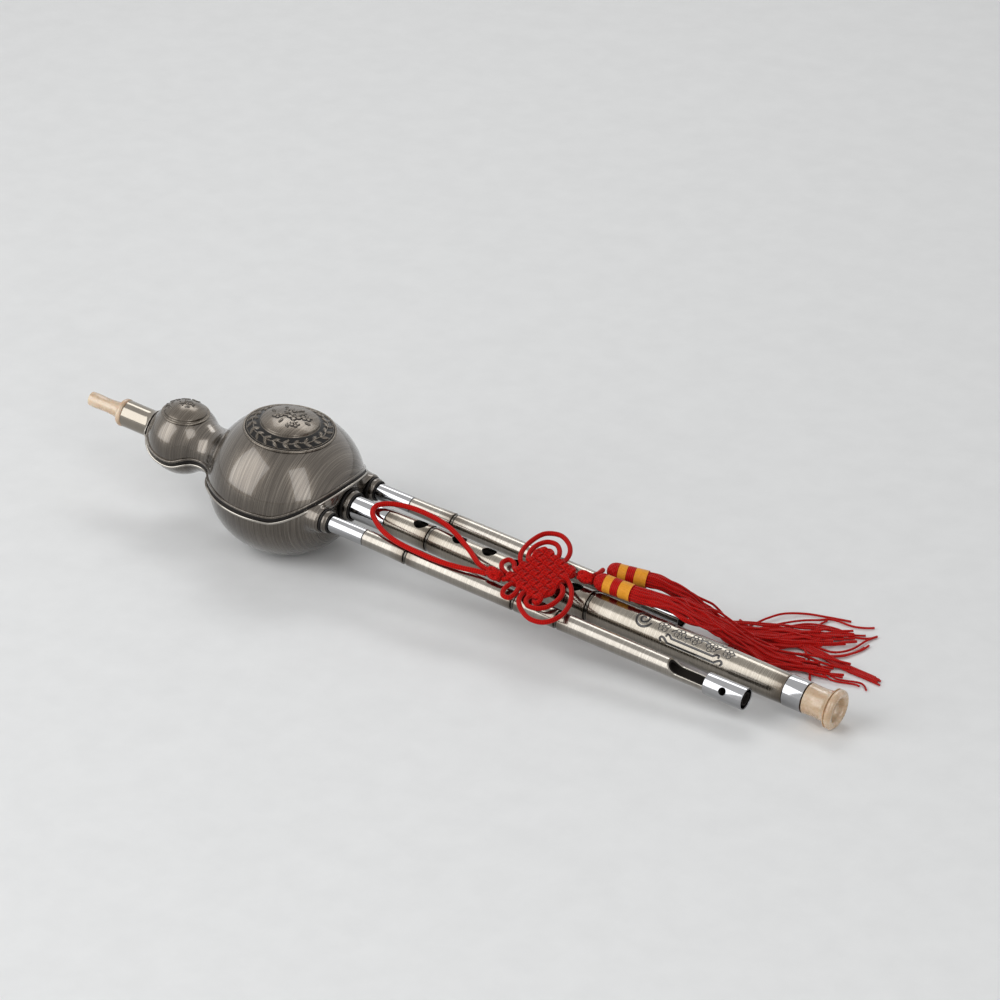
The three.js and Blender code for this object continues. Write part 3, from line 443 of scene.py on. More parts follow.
def brushed(name, dark, mid, light, roughness, coat=0.8, nodes=(), fill=None):
    """Metal brushed in fine rings round the long axis, under a clear gloss. It browns towards the pipe's
    nodes, partly as patina and partly as painted shade for the dark reflections there, and the attribute
    'fill' lays black into what is engraved or sunk."""
    shader = Shader(name, Metallic=1.0, Coat_Weight=coat, Coat_Roughness=0.05, Coat_IOR=1.5)
    lines = shader.noise((1900.0, 22.0, 22.0), 3.0, 0.6)
    fine = shader.noise((5200.0, 60.0, 60.0), 2.0, 0.6)
    cloud = shader.noise(30.0, 2.0, 0.5)
    tone = shader.blend((lines, 0.5), (fine, 0.3), (cloud, 0.2))
    colour, more = shader.ramp(tone, (0.36, dark), (0.5, mid), (0.64, light)), {}
    if nodes:
        # Browning near the nodes: patina, and painted shade for the dark reflections there.
        colour = patina_and_painted_shade(shader, colour, nodes)
    if fill:
        sunk = shader.node("ShaderNodeAttribute", {}, attribute_name="fill")["Fac"]
        black = shader.ramp(cloud, (0.3, fill), (0.7, times(fill, 1.6)))
        colour = shader.mix(sunk, colour, black)
        more["Metallic"] = shader.span(sunk, 1.0, 0.0, 0.0, 1.0)
        shader.bsdf.inputs["Specular IOR Level"].default_value = 0.12
    return shader.finish(colour, shader.span(fine, roughness - 0.05, roughness + 0.07),
                         shader.bump(lines, 0.25, 0.00001), **more)


def patina_and_painted_shade(shader, colour, nodes, reach=9.0):
    """Browns a colour towards each node of a pipe, given by its distance along the instrument: partly
    patina, partly painted shade standing in for the dark reflections near the nodes.
    """
    low, high, clear, brown = 170.0, 410.0, (1.0, 1.0, 1.0), (0.42, 0.36, 0.3)
    along = shader.node("ShaderNodeSeparateXYZ", {"Vector": shader.coordinate()})["X"]
    stops = [(0.0, clear)]
    for node in nodes:
        for at, tint in ((node - reach, clear), (node, brown), (node + reach, clear)):
            stops.append(((at - low) / (high - low), tint))
    tint = shader.ramp(shader.span(along, 0.0, 1.0, low * MM, high * MM), *stops)
    return shader.mix(1.0, colour, tint, "MULTIPLY")


def polished(name, colour, roughness=0.07):
    shader = Shader(name, Metallic=1.0)
    cloud, rings = shader.noise(180.0), shader.noise((1500.0, 12.0, 12.0))
    return shader.finish(shader.ramp(cloud, (0.3, times(colour, 0.93)), (0.7, colour)),
                         shader.span(rings, roughness, roughness + 0.05),
                         shader.bump(rings, 0.12, 0.000008))


def resin():
    shader = Shader("resin", Roughness=0.28, Subsurface_Weight=0.35, Subsurface_Scale=0.004,
                    Subsurface_Radius=(1.0, 0.5, 0.28), Coat_Weight=0.6, Coat_Roughness=0.08)
    swirl, fine = shader.noise((60.0, 150.0, 150.0), 4.0, 0.6), shader.noise(900.0)
    colour = shader.ramp(swirl, (0.3, (0.4, 0.265, 0.155)), (0.48, (0.5, 0.355, 0.225)),
                         (0.62, (0.61, 0.475, 0.335)))
    return shader.finish(colour, shader.span(fine, 0.22, 0.36), shader.bump(fine, 0.15, 0.00002))


def rubber(name, colour, roughness):
    shader = Shader(name, Specular_IOR_Level=0.15)
    grain = shader.noise(1400.0)
    return shader.finish(shader.ramp(grain, (0.35, colour), (0.7, times(colour, 1.7))),
                         shader.span(grain, roughness - 0.08, roughness + 0.08),
                         shader.bump(grain, 0.3, 0.00003))


def braid(name, dark, light, pitch, depth, turns=4):
    """Cord braided of threads: two sets of diagonal ridges cross along its length, with painted shade
    darkening their grooves over a random fibre tone.
    """
    shader = Shader(name, Sheen_Weight=0.08, Sheen_Roughness=0.4, Specular_IOR_Level=0.08)
    along, around = shader.cord_angles(pitch, turns)
    left = shader.math("SINE", shader.math("ADD", along, around))
    right = shader.math("SINE", shader.math("SUBTRACT", along, around))
    height = shader.span(shader.math("MULTIPLY", left, right), 0.0, 1.0, -1.0, 1.0)
    fuzz = shader.noise(2600.0)
    # Colour follows the ridge height: painted shade in the grooves, mixed with random fibre tone.
    tone = shader.blend((height, 0.65), (fuzz, 0.35))
    normal = shader.bump(fuzz, 0.3, depth * 0.4, Normal=shader.bump(height, 0.9, depth))
    return shader.finish(shader.ramp(tone, (0.2, dark), (0.75, light)),
                         shader.span(fuzz, 0.55, 0.8), normal)


def thread(name, dark, light, pitch, roughness=0.5):
    """Twisted or wound thread: ridges run round it at a fine pitch, with painted shade darkening the
    grooves between them over a random fibre tone.
    """
    shader = Shader(name, Sheen_Weight=0.06, Sheen_Roughness=0.35, Specular_IOR_Level=0.12)
    wound = shader.math("SINE", shader.math("ADD", *shader.cord_angles(pitch, 1)))
    ridge = shader.span(wound, 0.0, 1.0, -1.0, 1.0)
    fuzz = shader.noise(1700.0, 2.0)
    # Colour follows the ridge height: painted shade in the grooves, mixed with random fibre tone.
    tone = shader.blend((ridge, 0.45), (fuzz, 0.55))
    return shader.finish(shader.ramp(tone, (0.25, dark), (0.7, light)),
                         shader.span(fuzz, roughness - 0.08, roughness + 0.12),
                         shader.bump(ridge, 0.7, 0.00008))


BLACK = (0.005, 0.0045, 0.004)
NICKEL = brushed("brushed_nickel", (0.054, 0.044, 0.035), (0.096, 0.081, 0.066),
                 (0.172, 0.151, 0.125), 0.26)
NECK_NICKEL = polished("neck_nickel", (0.25, 0.225, 0.19), 0.1)
ENAMEL = brushed("medallion_metal", (0.07, 0.058, 0.047), (0.115, 0.098, 0.08),
                 (0.175, 0.155, 0.13), 0.27, 0.25, fill=BLACK)
MAIN_NICKEL = brushed("brushed_main_pipe", (0.165, 0.144, 0.116), (0.215, 0.19, 0.156),
                      (0.28, 0.252, 0.212), 0.22, 0.7,
                      (FERRULE_END, FIRST_NODE, SECOND_NODE, END_RING), BLACK)
DRONE_NICKEL = brushed("brushed_drone", (0.18, 0.162, 0.137), (0.235, 0.213, 0.184),
                       (0.3, 0.277, 0.244), 0.2, 0.7, DRONE_NODES)
# Chrome is a mid grey, far darker than bright chrome, as painted dark reflections of its surroundings.
CHROME = polished("chrome", (0.36, 0.36, 0.367))
BRIGHT_WIRE = polished("bright_wire", (0.36, 0.335, 0.3), 0.12)
# Node rings and bands: their dark colour paints the shade in the grooves at the pipes' nodes.
DARK_WIRE = polished("dark_wire", (0.085, 0.077, 0.066), 0.2)
RESIN = resin()
RUBBER = rubber("black_seal", (0.009, 0.008, 0.0075), 0.42)
CORK = rubber("cork", (0.33, 0.18, 0.08), 0.85)
# Near black: the liner's colour also paints the shade inside the bores.
LINER = rubber("liner", (0.008, 0.0065, 0.005), 0.8)
BRASS = polished("brass", (0.62, 0.42, 0.14), 0.25)
RED_CORD = braid("red_cord", (0.26, 0.002, 0.0012), (0.6, 0.008, 0.004), 2.2, 0.00022)
KNOT_CORD = braid("knot_cord", (0.24, 0.002, 0.0012), (0.56, 0.007, 0.004), 1.9, 0.0002)
RED_THREAD = thread("red_thread", (0.22, 0.0015, 0.001), (0.55, 0.006, 0.003), 0.9)
GOLD_THREAD = thread("gold_thread", (0.6, 0.22, 0.012), (0.85, 0.38, 0.04), 0.55, 0.38)


# The gourd's form, as in the CAD source

def outline_arcs():
    """The centres of the waist's and the neck's fillets, and where the outline's arcs meet."""
    r1, r2, spacing = SMALL_R + WAIST_FILLET, LARGE_R + WAIST_FILLET, LARGE_X - SMALL_X
    along = (r1 ** 2 - r2 ** 2 + spacing ** 2) / (2 * spacing)
    wx, wy = SMALL_X + along, math.sqrt(r1 ** 2 - along ** 2)
    fy = NECK_R + NECK_FILLET
    fx = SMALL_X - math.sqrt((SMALL_R + NECK_FILLET) ** 2 - fy ** 2)
    edges = (fx, SMALL_X - SMALL_R * math.cos(math.atan2(-fy, SMALL_X - fx)),
             SMALL_X - SMALL_R * math.cos(math.atan2(-wy, SMALL_X - wx)),
             LARGE_X - LARGE_R * math.cos(math.atan2(-wy, LARGE_X - wx)))
    return wx, wy, fx, fy, edges


WAIST_X, WAIST_Y, FLARE_X, FLARE_Y, ARC_EDGES = outline_arcs()


def half_squared(x):
    """The square of half the gourd's width at x, which stays smooth at its nose."""
    x = np.asarray(x, dtype=float)
    bow = FLARE_Y - np.sqrt(np.maximum(NECK_FILLET ** 2 - (x - FLARE_X) ** 2, 0))
    dip = WAIST_Y - np.sqrt(np.maximum(WAIST_FILLET ** 2 - (x - WAIST_X) ** 2, 0))
    return np.select([x < edge for edge in ARC_EDGES],
                     [NECK_R ** 2 + 0 * x, bow ** 2, SMALL_R ** 2 - (x - SMALL_X) ** 2, dip ** 2],
                     LARGE_R ** 2 - (x - LARGE_X) ** 2)


def half(x):
    return np.sqrt(np.maximum(half_squared(x), 0))


def share(x):
    """The gourd's height as a share of its width."""
    return 1.0 + (LARGE_HALF_HEIGHT / LARGE_R - 1.0) * smooth(x, SMALL_X, LARGE_X)


def gourd_field(p):
    """Signed distance, nearly, from the gourd's surface, with its outward direction."""
    x, y, z = p[:, 0], p[:, 1], p[:, 2]
    s = share(x)
    value = y ** 2 + (z / s) ** 2 - half_squared(x)
    step = 0.02
    slope = (z ** 2 * (share(x + step) ** -2 - share(x - step) ** -2)
             - half_squared(x + step) + half_squared(x - step)) / (2 * step)
    gradient = np.column_stack([slope, 2 * y, 2 * z / s ** 2])
    size = np.maximum(np.linalg.norm(gradient, axis=1), 1e-6)
    return value / size, gradient / size[:, None]


def seam_table():
    shares = [(-0.86, -0.02), (-0.43, -0.24), (0.17, -0.33), (0.57, -0.18), (0.86, -0.13)]
    points = [(SMALL_X + a * SMALL_R, b * SMALL_R) for a, b in shares]
    shares = [(-0.89, -0.055), (-0.66, 0), (-0.3, 0), (0.05, 0), (0.38, 0)]
    points += [(LARGE_X + a * LARGE_R, b * LARGE_HALF_HEIGHT) for a, b in shares]
    pts = np.array([points[0], *points, points[-1]])
    out = []
    for p0, p1, p2, p3 in zip(pts, pts[1:], pts[2:], pts[3:]):
        v0, v1 = (p2 - p0) / 2, (p3 - p1) / 2
        for t in np.arange(24) / 24:
            out.append((2 * p1 - 2 * p2 + v0 + v1) * t ** 3
                       + (-3 * p1 + 3 * p2 - 2 * v0 - v1) * t ** 2 + v0 * t + p1)
    start, end = pts[-1][0], LARGE_X + LARGE_R + 1.5
    nose = [(start + t * (end - start), SEAM_RISE * t ** 1.5) for t in np.arange(1, 41) / 32]
    return np.array([*out, pts[-1], *nose])


SEAM = seam_table()


def seam(x):
    return np.interp(x, SEAM[:, 0], SEAM[:, 1])


def seam_end(lift):
    """Where the seam, moved up by lift, meets the crest of the nose."""
    low, high = 140.0, LARGE_X + LARGE_R
    for _ in range(40):
        mid = (low + high) / 2
        if half(mid) * share(mid) > seam(mid) + lift:
            low = mid
        else:
            high = mid
    return low


def seam_path(lift):
    """The closed line on the gourd at one height over the seam, with surface normals."""
    start, end = SEAM_START + lift, seam_end(lift)
    xs = start + (end - start) * np.sin(np.linspace(0, 1, 900) * math.pi / 2) ** 0.9
    h, z = half(xs), seam(xs) + lift
    y = np.sqrt(np.maximum(h ** 2 - (z / share(xs)) ** 2, 0))
    height = h[0] * share(start)
    turn = math.asin(np.clip(z[0] / height, -1, 1))
    angles = np.linspace(turn, math.pi - turn, 80)[1:-1]
    over = np.column_stack([np.full(len(angles), start), h[0] * np.cos(angles),
                            height * np.sin(angles)])
    path = np.vstack([np.column_stack([xs, -y, z]), np.column_stack([xs, y, z])[::-1], over])
    path = resample(path, 0.8, True)
    for _ in range(3):
        path = (np.roll(path, 1, axis=0) + 2 * path + np.roll(path, -1, axis=0)) / 4
        for _ in range(2):
            value, normal = gourd_field(path)
            path = path - value[:, None] * normal
    return path, gourd_field(path)[1]


def seam_bead(name, lift, low, high, half_width, radius, material):
    """A bead of rounded section along the seam, thinner where it goes over the neck."""
    corners = [(low, -half_width), (high, -half_width), (high, half_width), (low, half_width)]
    path, normals = seam_path(lift)
    over_neck = smooth(path[:, 2] - seam(path[:, 0]) - lift, 1.5, 5.0) * (path[:, 0] < SEAM_START + 5)
    shape = sweep(path, rounded(corners, radius, 5), True, normals, 1.0 - 0.74 * over_neck)
    return add_mesh(name, shape, "gourd", material, 50)


def make_upper_shell():
    lift, across, along, wall = 0.85, 150, 230, 1.2
    start, end = SEAM_START + lift, seam_end(lift)
    verts = []
    for i in range(along + 1):
        x = start + (end - start) * (1 - (1 - i / along) ** 1.6)
        h, s = float(half(x)), float(share(x))
        low = math.asin(max(-1, min(1, (float(seam(x)) + lift) / (h * s))))
        if i == along:
            low = math.pi / 2
        for j in range(across + 1):
            angle = low + (math.pi - 2 * low) * j / across
            verts.append((x, h * math.cos(angle), h * s * math.sin(angle)))
    shape = verts, net(along + 1, across + 1, around=False)
    shell = add_mesh("upper_shell_skin", shape, "gourd", NICKEL, 60)
    modify(shell, 50, "SOLIDIFY", dict(thickness=wall * MM, offset=-1.0))
    stand_for(shell, "nickel", "upper_shell")


def lobe_field(p):
    """Signed distance, nearly, from the three socket lobes and the web between them."""
    x, y, z = p[:, 0], p[:, 1], p[:, 2] - PIPE_Z
    t = (x - LOBE_START) / (NOSE_X - LOBE_START)
    best = np.hypot(np.maximum(np.abs(y) - DRONE_Y, 0), z) - WEB_HALF
    for centre, radius in LOBES:
        size = radius + 2 * SOCKET_LAND + t * (SOCKET_LAND / 2 - 2 * SOCKET_LAND)
        best = np.minimum(best, np.hypot(y - centre, z) - size)
    return np.maximum(best, LOBE_START - x)


def make_lower_shell():
    sides, at, voxel = 128, PIPE_Z, 0.8
    socket, neck, socket_end = (141.0, 162.0), (10.0, 48.0), 156
    xs = np.concatenate([np.linspace(22.6, 36, 14), np.linspace(36.5, socket_end, 240),
                         LARGE_X + LARGE_R * np.cos(np.linspace(0.33, 0.02, 14))])
    verts = [(x, h * c, h * s * d) for x, h, s in zip(xs, half(xs), share(xs))
             for c, d in circle(1.0, sides)]
    parts = [(verts, net(len(xs), sides, caps=True), [])]
    for centre, radius in LOBES:
        profile = [(LOBE_START, 0.01), (LOBE_START, radius + 2 * SOCKET_LAND),
                   (NOSE_X, radius + SOCKET_LAND / 2), (NOSE_X, 0.01)]
        parts.append((*revolve(profile, 64, (centre, at)), []))
    turns = [(DRONE_Y, a) for a in np.radians(np.linspace(-90, 90, 13))]
    turns += [(-DRONE_Y, a) for a in np.radians(np.linspace(90, 270, 13))]
    web = [(x, y + WEB_HALF * math.cos(a), at + WEB_HALF * math.sin(a))
           for x in (LOBE_START, NOSE_X) for y, a in turns]
    parts.append((web, net(2, len(turns), caps=True), []))
    shell = add_mesh("lower_shell_skin", gather(parts)[:2], "gourd", NICKEL)
    modify(shell, 60, "REMESH", dict(mode="VOXEL", voxel_size=voxel * MM))
    shape_lower_shell(shell.data)
    bores = ((*socket, 6.5, (0.0, at)), (*socket, 4.7, (-DRONE_Y, at)),
             (*socket, 4.7, (DRONE_Y, at)), (*neck, 5.6, (0.0, 0.0)))
    cut(shell, 60, *(cutter("bore", *revolve(ring_profile(start, end, radius, 0.01), 64, centre))
                     for start, end, radius, centre in bores))
    with_bmesh(shell.data, open_at_seam)
    finish_mesh(shell.data, 50)
    shell.data.materials.append(NECK_NICKEL)
    for polygon in shell.data.polygons:
        polygon.material_index = int(polygon.center.x < NECK_END * MM)
    stand_for(shell, "nickel", "lower_shell")


def shape_lower_shell(mesh):
    """Draws the remeshed skin onto the gourd and eases it where the socket lobes leave it."""
    count = len(mesh.vertices)
    points = np.empty(count * 3)
    mesh.vertices.foreach_get("co", points)
    points = points.reshape(-1, 3) / MM
    edges = np.empty(len(mesh.edges) * 2, dtype=np.int64)
    mesh.edges.foreach_get("vertices", edges)
    a, b = edges.reshape(-1, 2).T
    degree = np.bincount(edges, minlength=count)
    lobes, off_gourd = np.abs(lobe_field(points)), np.abs(gourd_field(points)[0])
    reach, snap_reach, rounds, pull, calm_weight = 3.4, 0.9, 22, 0.6, 0.35
    weight = np.clip((reach - np.maximum(lobes, off_gourd)) / (0.6 * reach), 0, 1)
    weight = weight * (points[:, 0] > LOBE_START - 2)
    calm = (points[:, 0] > LOBE_START - 1) & (off_gourd > 1.0)
    weight = np.maximum(weight, calm_weight * calm * (points[:, 0] < NOSE_X - 1.2))
    for _ in range(3):
        value, normal = gourd_field(points)
        snap = (np.abs(value) < snap_reach) & (weight < 0.02)
        points = np.where(snap[:, None], points - value[:, None] * normal, points)
    for _ in range(rounds):
        total = np.zeros_like(points)
        np.add.at(total, a, points[b])
        np.add.at(total, b, points[a])
        points += pull * weight[:, None] * (total / degree[:, None] - points)
    points[:, 0] = np.minimum(points[:, 0], NOSE_X)
    under_gasket, nose_side = 0.9, 140
    ceiling = seam(points[:, 0]) - under_gasket
    high = (gourd_field(points)[0] > 0.4) & (points[:, 2] > ceiling) & (points[:, 0] > nose_side)
    points[high, 2] = ceiling[high]
    points[:, 2] = np.maximum(points[:, 2], ground(points[:, 0]) + 0.05)
    mesh.vertices.foreach_set("co", (points * MM).ravel())
    mesh.update()


def open_at_seam(bm):
    """Opens the skin along the seam, behind the lips that cover its edge."""
    gone = []
    for face in bm.faces:
        x, y, z = (c / MM for c in face.calc_center_median())
        inside = math.hypot(y, z / float(share(x))) < float(half(x)) + 0.5
        if inside and SEAM_START - 1.2 < x < 155.4 and z > float(seam(x)) - 1.3:
            gone.append(face)
    bmesh.ops.delete(bm, geom=gone, context="FACES")


# Relief on the medallions and the main pipe, as heights over a flat plan

def leaf(u, v, at, turn, length, width):
    """Height of an almond leaf with a mid vein, 0 to 1."""
    c, s = math.cos(turn), math.sin(turn)
    t = ((u - at[0]) * c + (v - at[1]) * s) / length
    b = np.abs(-(u - at[0]) * s + (v - at[1]) * c)
    edge = width * np.sin(np.clip(t, 0, 1) * math.pi) ** 0.8
    inside = np.where((t > 0) & (t < 1), 1 - b / np.maximum(edge, 1e-3), -1)
    return smooth(inside, 0, 0.45) * (1 - 0.45 * smooth(width * 0.16 - b, 0, width * 0.14))


def dot(u, v, at, radius):
    return smooth(1 - np.hypot(u - at[0], v - at[1]) / radius, 0, 0.55)


def line(u, v, points, width):
    best = np.full(np.shape(u), 1e3)
    for (x0, y0), (x1, y1) in zip(points[:-1], points[1:]):
        dx, dy = x1 - x0, y1 - y0
        t = np.clip(((u - x0) * dx + (v - y0) * dy) / max(dx * dx + dy * dy, 1e-9), 0, 1)
        best = np.minimum(best, np.hypot(u - x0 - t * dx, v - y0 - t * dy))
    return smooth(width - best, 0, width * 0.6)


def on_circle(radius, angle):
    return radius * math.cos(angle), radius * math.sin(angle)


def blossom(u, v, at, size, turn):
    height = np.zeros(np.shape(u))
    for k in range(5):
        x, y = on_circle(0.6 * size, turn + TAU * k / 5)
        height = np.maximum(height, 0.9 * dot(u, v, (at[0] + x, at[1] + y), 0.47 * size))
    height *= 1 - 0.8 * smooth(0.34 * size - np.hypot(u - at[0], v - at[1]), 0, 0.1 * size)
    return np.maximum(height, dot(u, v, at, 0.24 * size))


def wreath(u, v, radius, count):
    """A vine run round in a circle, with a pair of leaves and a berry on each of its joints."""
    rho, phi = np.hypot(u, v), np.arctan2(v, u)
    height = smooth(0.3 - np.abs(rho - radius - 0.3 * np.sin(count * phi / 2)), 0, 0.2)
    for k in range(count):
        a = TAU * k / count
        for side in (-1, 1):
            blade = leaf(u, v, on_circle(radius, a), a + math.pi / 2 + side * 0.55,
                         4.1 - 0.4 * side, 0.88)
            height = np.maximum(height, blade)
        berry = on_circle(radius + (1.9 if k % 2 else -1.9), a + math.pi / count)
        height = np.maximum(height, 0.9 * dot(u, v, berry, 0.55))
    return height


def spray(u, v):
    """A small generic spray of blossoms, buds and leaves on a forked twig."""
    fork, second = (-2.6, -1.2), (0.6, -0.4)
    shapes = [line(u, v, [(-5.6, -3.4), fork, second, (4.2, 1.8), (6.4, 4.2)], 0.34),
              line(u, v, [fork, (-1.6, 2.2), (-2.4, 5.2)], 0.28),
              line(u, v, [second, (3.4, -3), (5.6, -3.8)], 0.28)]
    for at, size, turn in (((-2.2, 2.9), 2.3, 0.4), ((1.4, 0.4), 2.7, 0.1), ((4.9, 2.9), 2.1, 0.9),
                           ((-3.9, -2.3), 2.0, 0.2), ((4.1, -3.3), 1.9, 0.6)):
        shapes.append(blossom(u, v, at, size, turn))
    for at, turn, length in (((-0.6, 3.6), 1.1, 2.8), ((-4.4, 4.2), 2.4, 2.6), ((2.4, 3.0), 1.3, 2.8),
                             ((-1.2, -3.0), -1.5, 2.8), ((1.8, -4.4), -1.0, 2.6),
                             ((6.0, 0.2), 0.2, 2.4), ((-6.4, -0.4), 2.7, 2.5),
                             ((-0.2, 5.6), 0.6, 2.0)):
        shapes.append(0.85 * leaf(u, v, at, turn, length, 0.75))
    return np.maximum.reduce(shapes)


def medallion(node, centre_x, radius, rings, sides, heights):
    """A disc that follows the gourd's crown, raised by heights(u, v, rho) and filled dark."""
    phi = np.linspace(0, TAU, sides, endpoint=False)
    r, a = np.meshgrid(np.linspace(0, radius, rings)[1:], phi, indexing="ij")
    u = np.concatenate([[0], (r * np.cos(a)).ravel()])
    v = np.concatenate([[0], (r * np.sin(a)).ravel()])
    height, fill = heights(u, v, np.hypot(u, v))
    x = centre_x + u
    base = np.column_stack([x, v, share(x) * np.sqrt(np.maximum(half(x) ** 2 - v ** 2, 0))])
    normal = gourd_field(base)[1]
    verts = base + height[:, None] * normal
    verts = np.vstack([verts, verts[-sides:] - 1.4 * normal[-sides:]])
    faces = [(0, 1 + s, 1 + (s + 1) % sides) for s in range(sides)]
    faces += [(1 + a, 1 + d, 1 + c, 1 + b) for a, b, c, d in net(rings, sides)]
    fill = np.concatenate([fill, np.zeros(sides)])
    piece = add_mesh(f"{node}_relief", (verts, faces), "gourd", ENAMEL, 60, fill=fill)
    stand_for(piece, "nickel", node)


def rim_height(rho, radius, width, height):
    centre = radius - width / 2
    return height * np.sqrt(np.clip(1 - ((rho - centre) / (width / 2)) ** 2, 0, 1))


def outlined(height, low=0.5, high=0.8):
    """Dark filling on the flanks of a relief, which leaves its tops bare."""
    return smooth(height, 0.01, 0.08) * (1 - smooth(height, low, high))


def large_heights(u, v, rho):
    disc, step = smooth(14.5 - rho, 0, 0.9), smooth(14.5 - rho, -0.25, 0.0)
    vine = wreath(u, v, 17.9, 22) * (1 - disc)
    flowers = spray(u / 1.3, v / 1.3)
    inner_line = smooth(0.24 - np.abs(rho - 20.8), 0, 0.12)
    height = (0.1 + rim_height(rho, 22.6, 1.3, 0.85) + 0.6 * vine + 1.05 * disc
              + 0.3 * inner_line + 0.6 * flowers * disc)
    band = (rho < 21.3) * (1 - step) * (1 - smooth(vine, 0.12, 0.4)) * (1 - inner_line)
    return height, np.clip(band + outlined(flowers) * disc, 0, 1)


def small_heights(u, v, rho):
    """A smooth disc with a rim, a small blossom and an arc of leaves at its back and left."""
    disc = smooth(10.6 - rho, 0, 0.8)
    flowers = spray(u / 0.5, (v - 0.5) / 0.5)
    for k in range(9):
        a, side = math.radians(78 + 17 * k), 1 if k % 2 else -1
        blade = leaf(u, v, on_circle(8.2, a), a + math.pi / 2 - side * 0.7, 2.9, 0.8)
        berry = dot(u, v, on_circle(8.9 - 0.9 * side, a + 0.15), 0.6)
        flowers = np.maximum.reduce([flowers, blade, berry])
    lift = 1.5 * np.sqrt(np.clip(1 - (rho / 12.4) ** 2, 0, 1))
    height = (0.1 + rim_height(rho, 11.9, 1.0, 0.6) + 0.35 * disc + lift * disc * 0.45
              + 0.4 * flowers)
    return height, np.clip(outlined(flowers, 0.6, 0.9), 0, 1)


# The pipes

def swell(start, end, start_radius, end_radius):
    """A pipe section's outer line, which flares a little towards its ends."""
    flare = min(11.0, (end - start) / 2)
    body = min(start_radius, end_radius)
    waist = start_radius + 0.35 * (end_radius - start_radius) - (end_radius - body) / 6
    points = (start, start_radius), (start + flare, waist), (end - flare, waist), (end, end_radius)
    return [tuple(bezier(points, t)) for t in np.linspace(0, 1, 40)]


def main_liner(x):
    return 5.2 + min(1, max(0, (x - FIRST_NODE) / (SECOND_NODE - FIRST_NODE)))


def drone_liner(x):
    return DRONE_LINER_R


def make_section(node, outer, liner, body, centre, material, sides, *cutters):
    """A pipe section with softened ends, round a liner whose radius is a function of x."""
    (start, r0), (end, r1) = outer[0], outer[-1]
    soft = 0.18
    skin = [(start, r0 - soft), (start + 0.4 * soft, r0 - 0.3 * soft), (start + soft, r0),
            *outer[1:-1], (end - soft, r1), (end - 0.4 * soft, r1 - 0.3 * soft), (end, r1 - soft)]
    skin += [(x, liner(x) + 0.3) for x in (end, SECOND_NODE, FIRST_NODE, start)
             if start <= x <= end]
    piece = add_mesh(f"{node}_skin", revolve(skin, sides, centre), body, material)
    if cutters:
        cut(piece, 40, *cutters)
    stand_for(piece, "nickel", node)


def hole_cutter(x, top, centre):
    """A finger hole whose edge opens a little, drilled up from the axis, or down for top < 0."""
    rim, sign, sides = abs(top), math.copysign(1, top), 48
    levels = [(0.0, 3.4), (rim - 1.6, 3.4), (rim - 0.35, 3.5), (rim + 0.25, 3.95), (rim + 3, 3.95)]
    verts = [(x + c, centre[0] + s, centre[1] + sign * z) for z, r in levels
             for c, s in circle(r, sides)]
    return cutter("hole", verts, net(len(levels), sides, caps=True))


def window_cutter(start, centre):
    """The sound window: an arch that scoops down to the pipe's middle."""
    end, scoop, top, rim = start + WINDOW_LENGTH + 2.0, 7.0, 7.4, 5.4
    arch = (start, rim), (start + scoop / 4, 0), (start + scoop, 0)
    outline = [bezier(arch, t) for t in np.linspace(0, 1, 18)] + [(end, 0.0), (end, top), (start, top)]
    verts = [(x, centre[0] + y, centre[1] + z) for y in (-7, 7) for x, z in outline]
    return cutter("window", verts, net(2, len(outline), caps=True))


def make_main_pipe():
    at, body = (0.0, PIPE_Z), "main_pipe"
    ferrule = ring_profile(FERRULE_START, FERRULE_END, FERRULE_R, FERRULE_R - 0.4)
    turned_skin("main_ferrule", "chrome", ferrule, body, CHROME, at, 0.2, 96)
    outers = [swell(FERRULE_END + END_GAP, FIRST_NODE - NODE_GAP, FERRULE_R, FIRST_R),
              swell(FIRST_NODE + NODE_GAP, SECOND_NODE - NODE_GAP, FIRST_R, SECOND_R)]
    for i, outer in enumerate(outers):
        xs, radii = zip(*outer)
        holes = [(x, float(np.interp(x, xs, radii))) for x in MAIN_HOLES if xs[0] < x < xs[-1]]
        if i == 0:
            holes.append((THUMB_HOLE, -float(np.interp(THUMB_HOLE, xs, radii))))
        make_section(f"main_section_{i + 1}", outer, main_liner, body, at, MAIN_NICKEL, 112,
                     *(hole_cutter(x, top, at) for x, top in holes))
    make_engraved_section()
    # The node rings' dark colour paints the shade in the node grooves.
    for i, (x, r) in enumerate(((FIRST_NODE, FIRST_R), (SECOND_NODE, SECOND_R))):
        ring = ring_profile(x - 0.65, x + 0.65, r - 0.5, main_liner(x + 1.3) + 0.3)
        turned_skin(f"main_node_ring_{i + 1}", "chrome", ring, body, DARK_WIRE, at, 0.25, 96)
    turned_skin("main_end_ring", "chrome", ring_profile(END_RING, CAP_X, 7.5, 6.5), body, CHROME,
                at, 0.3, 96)


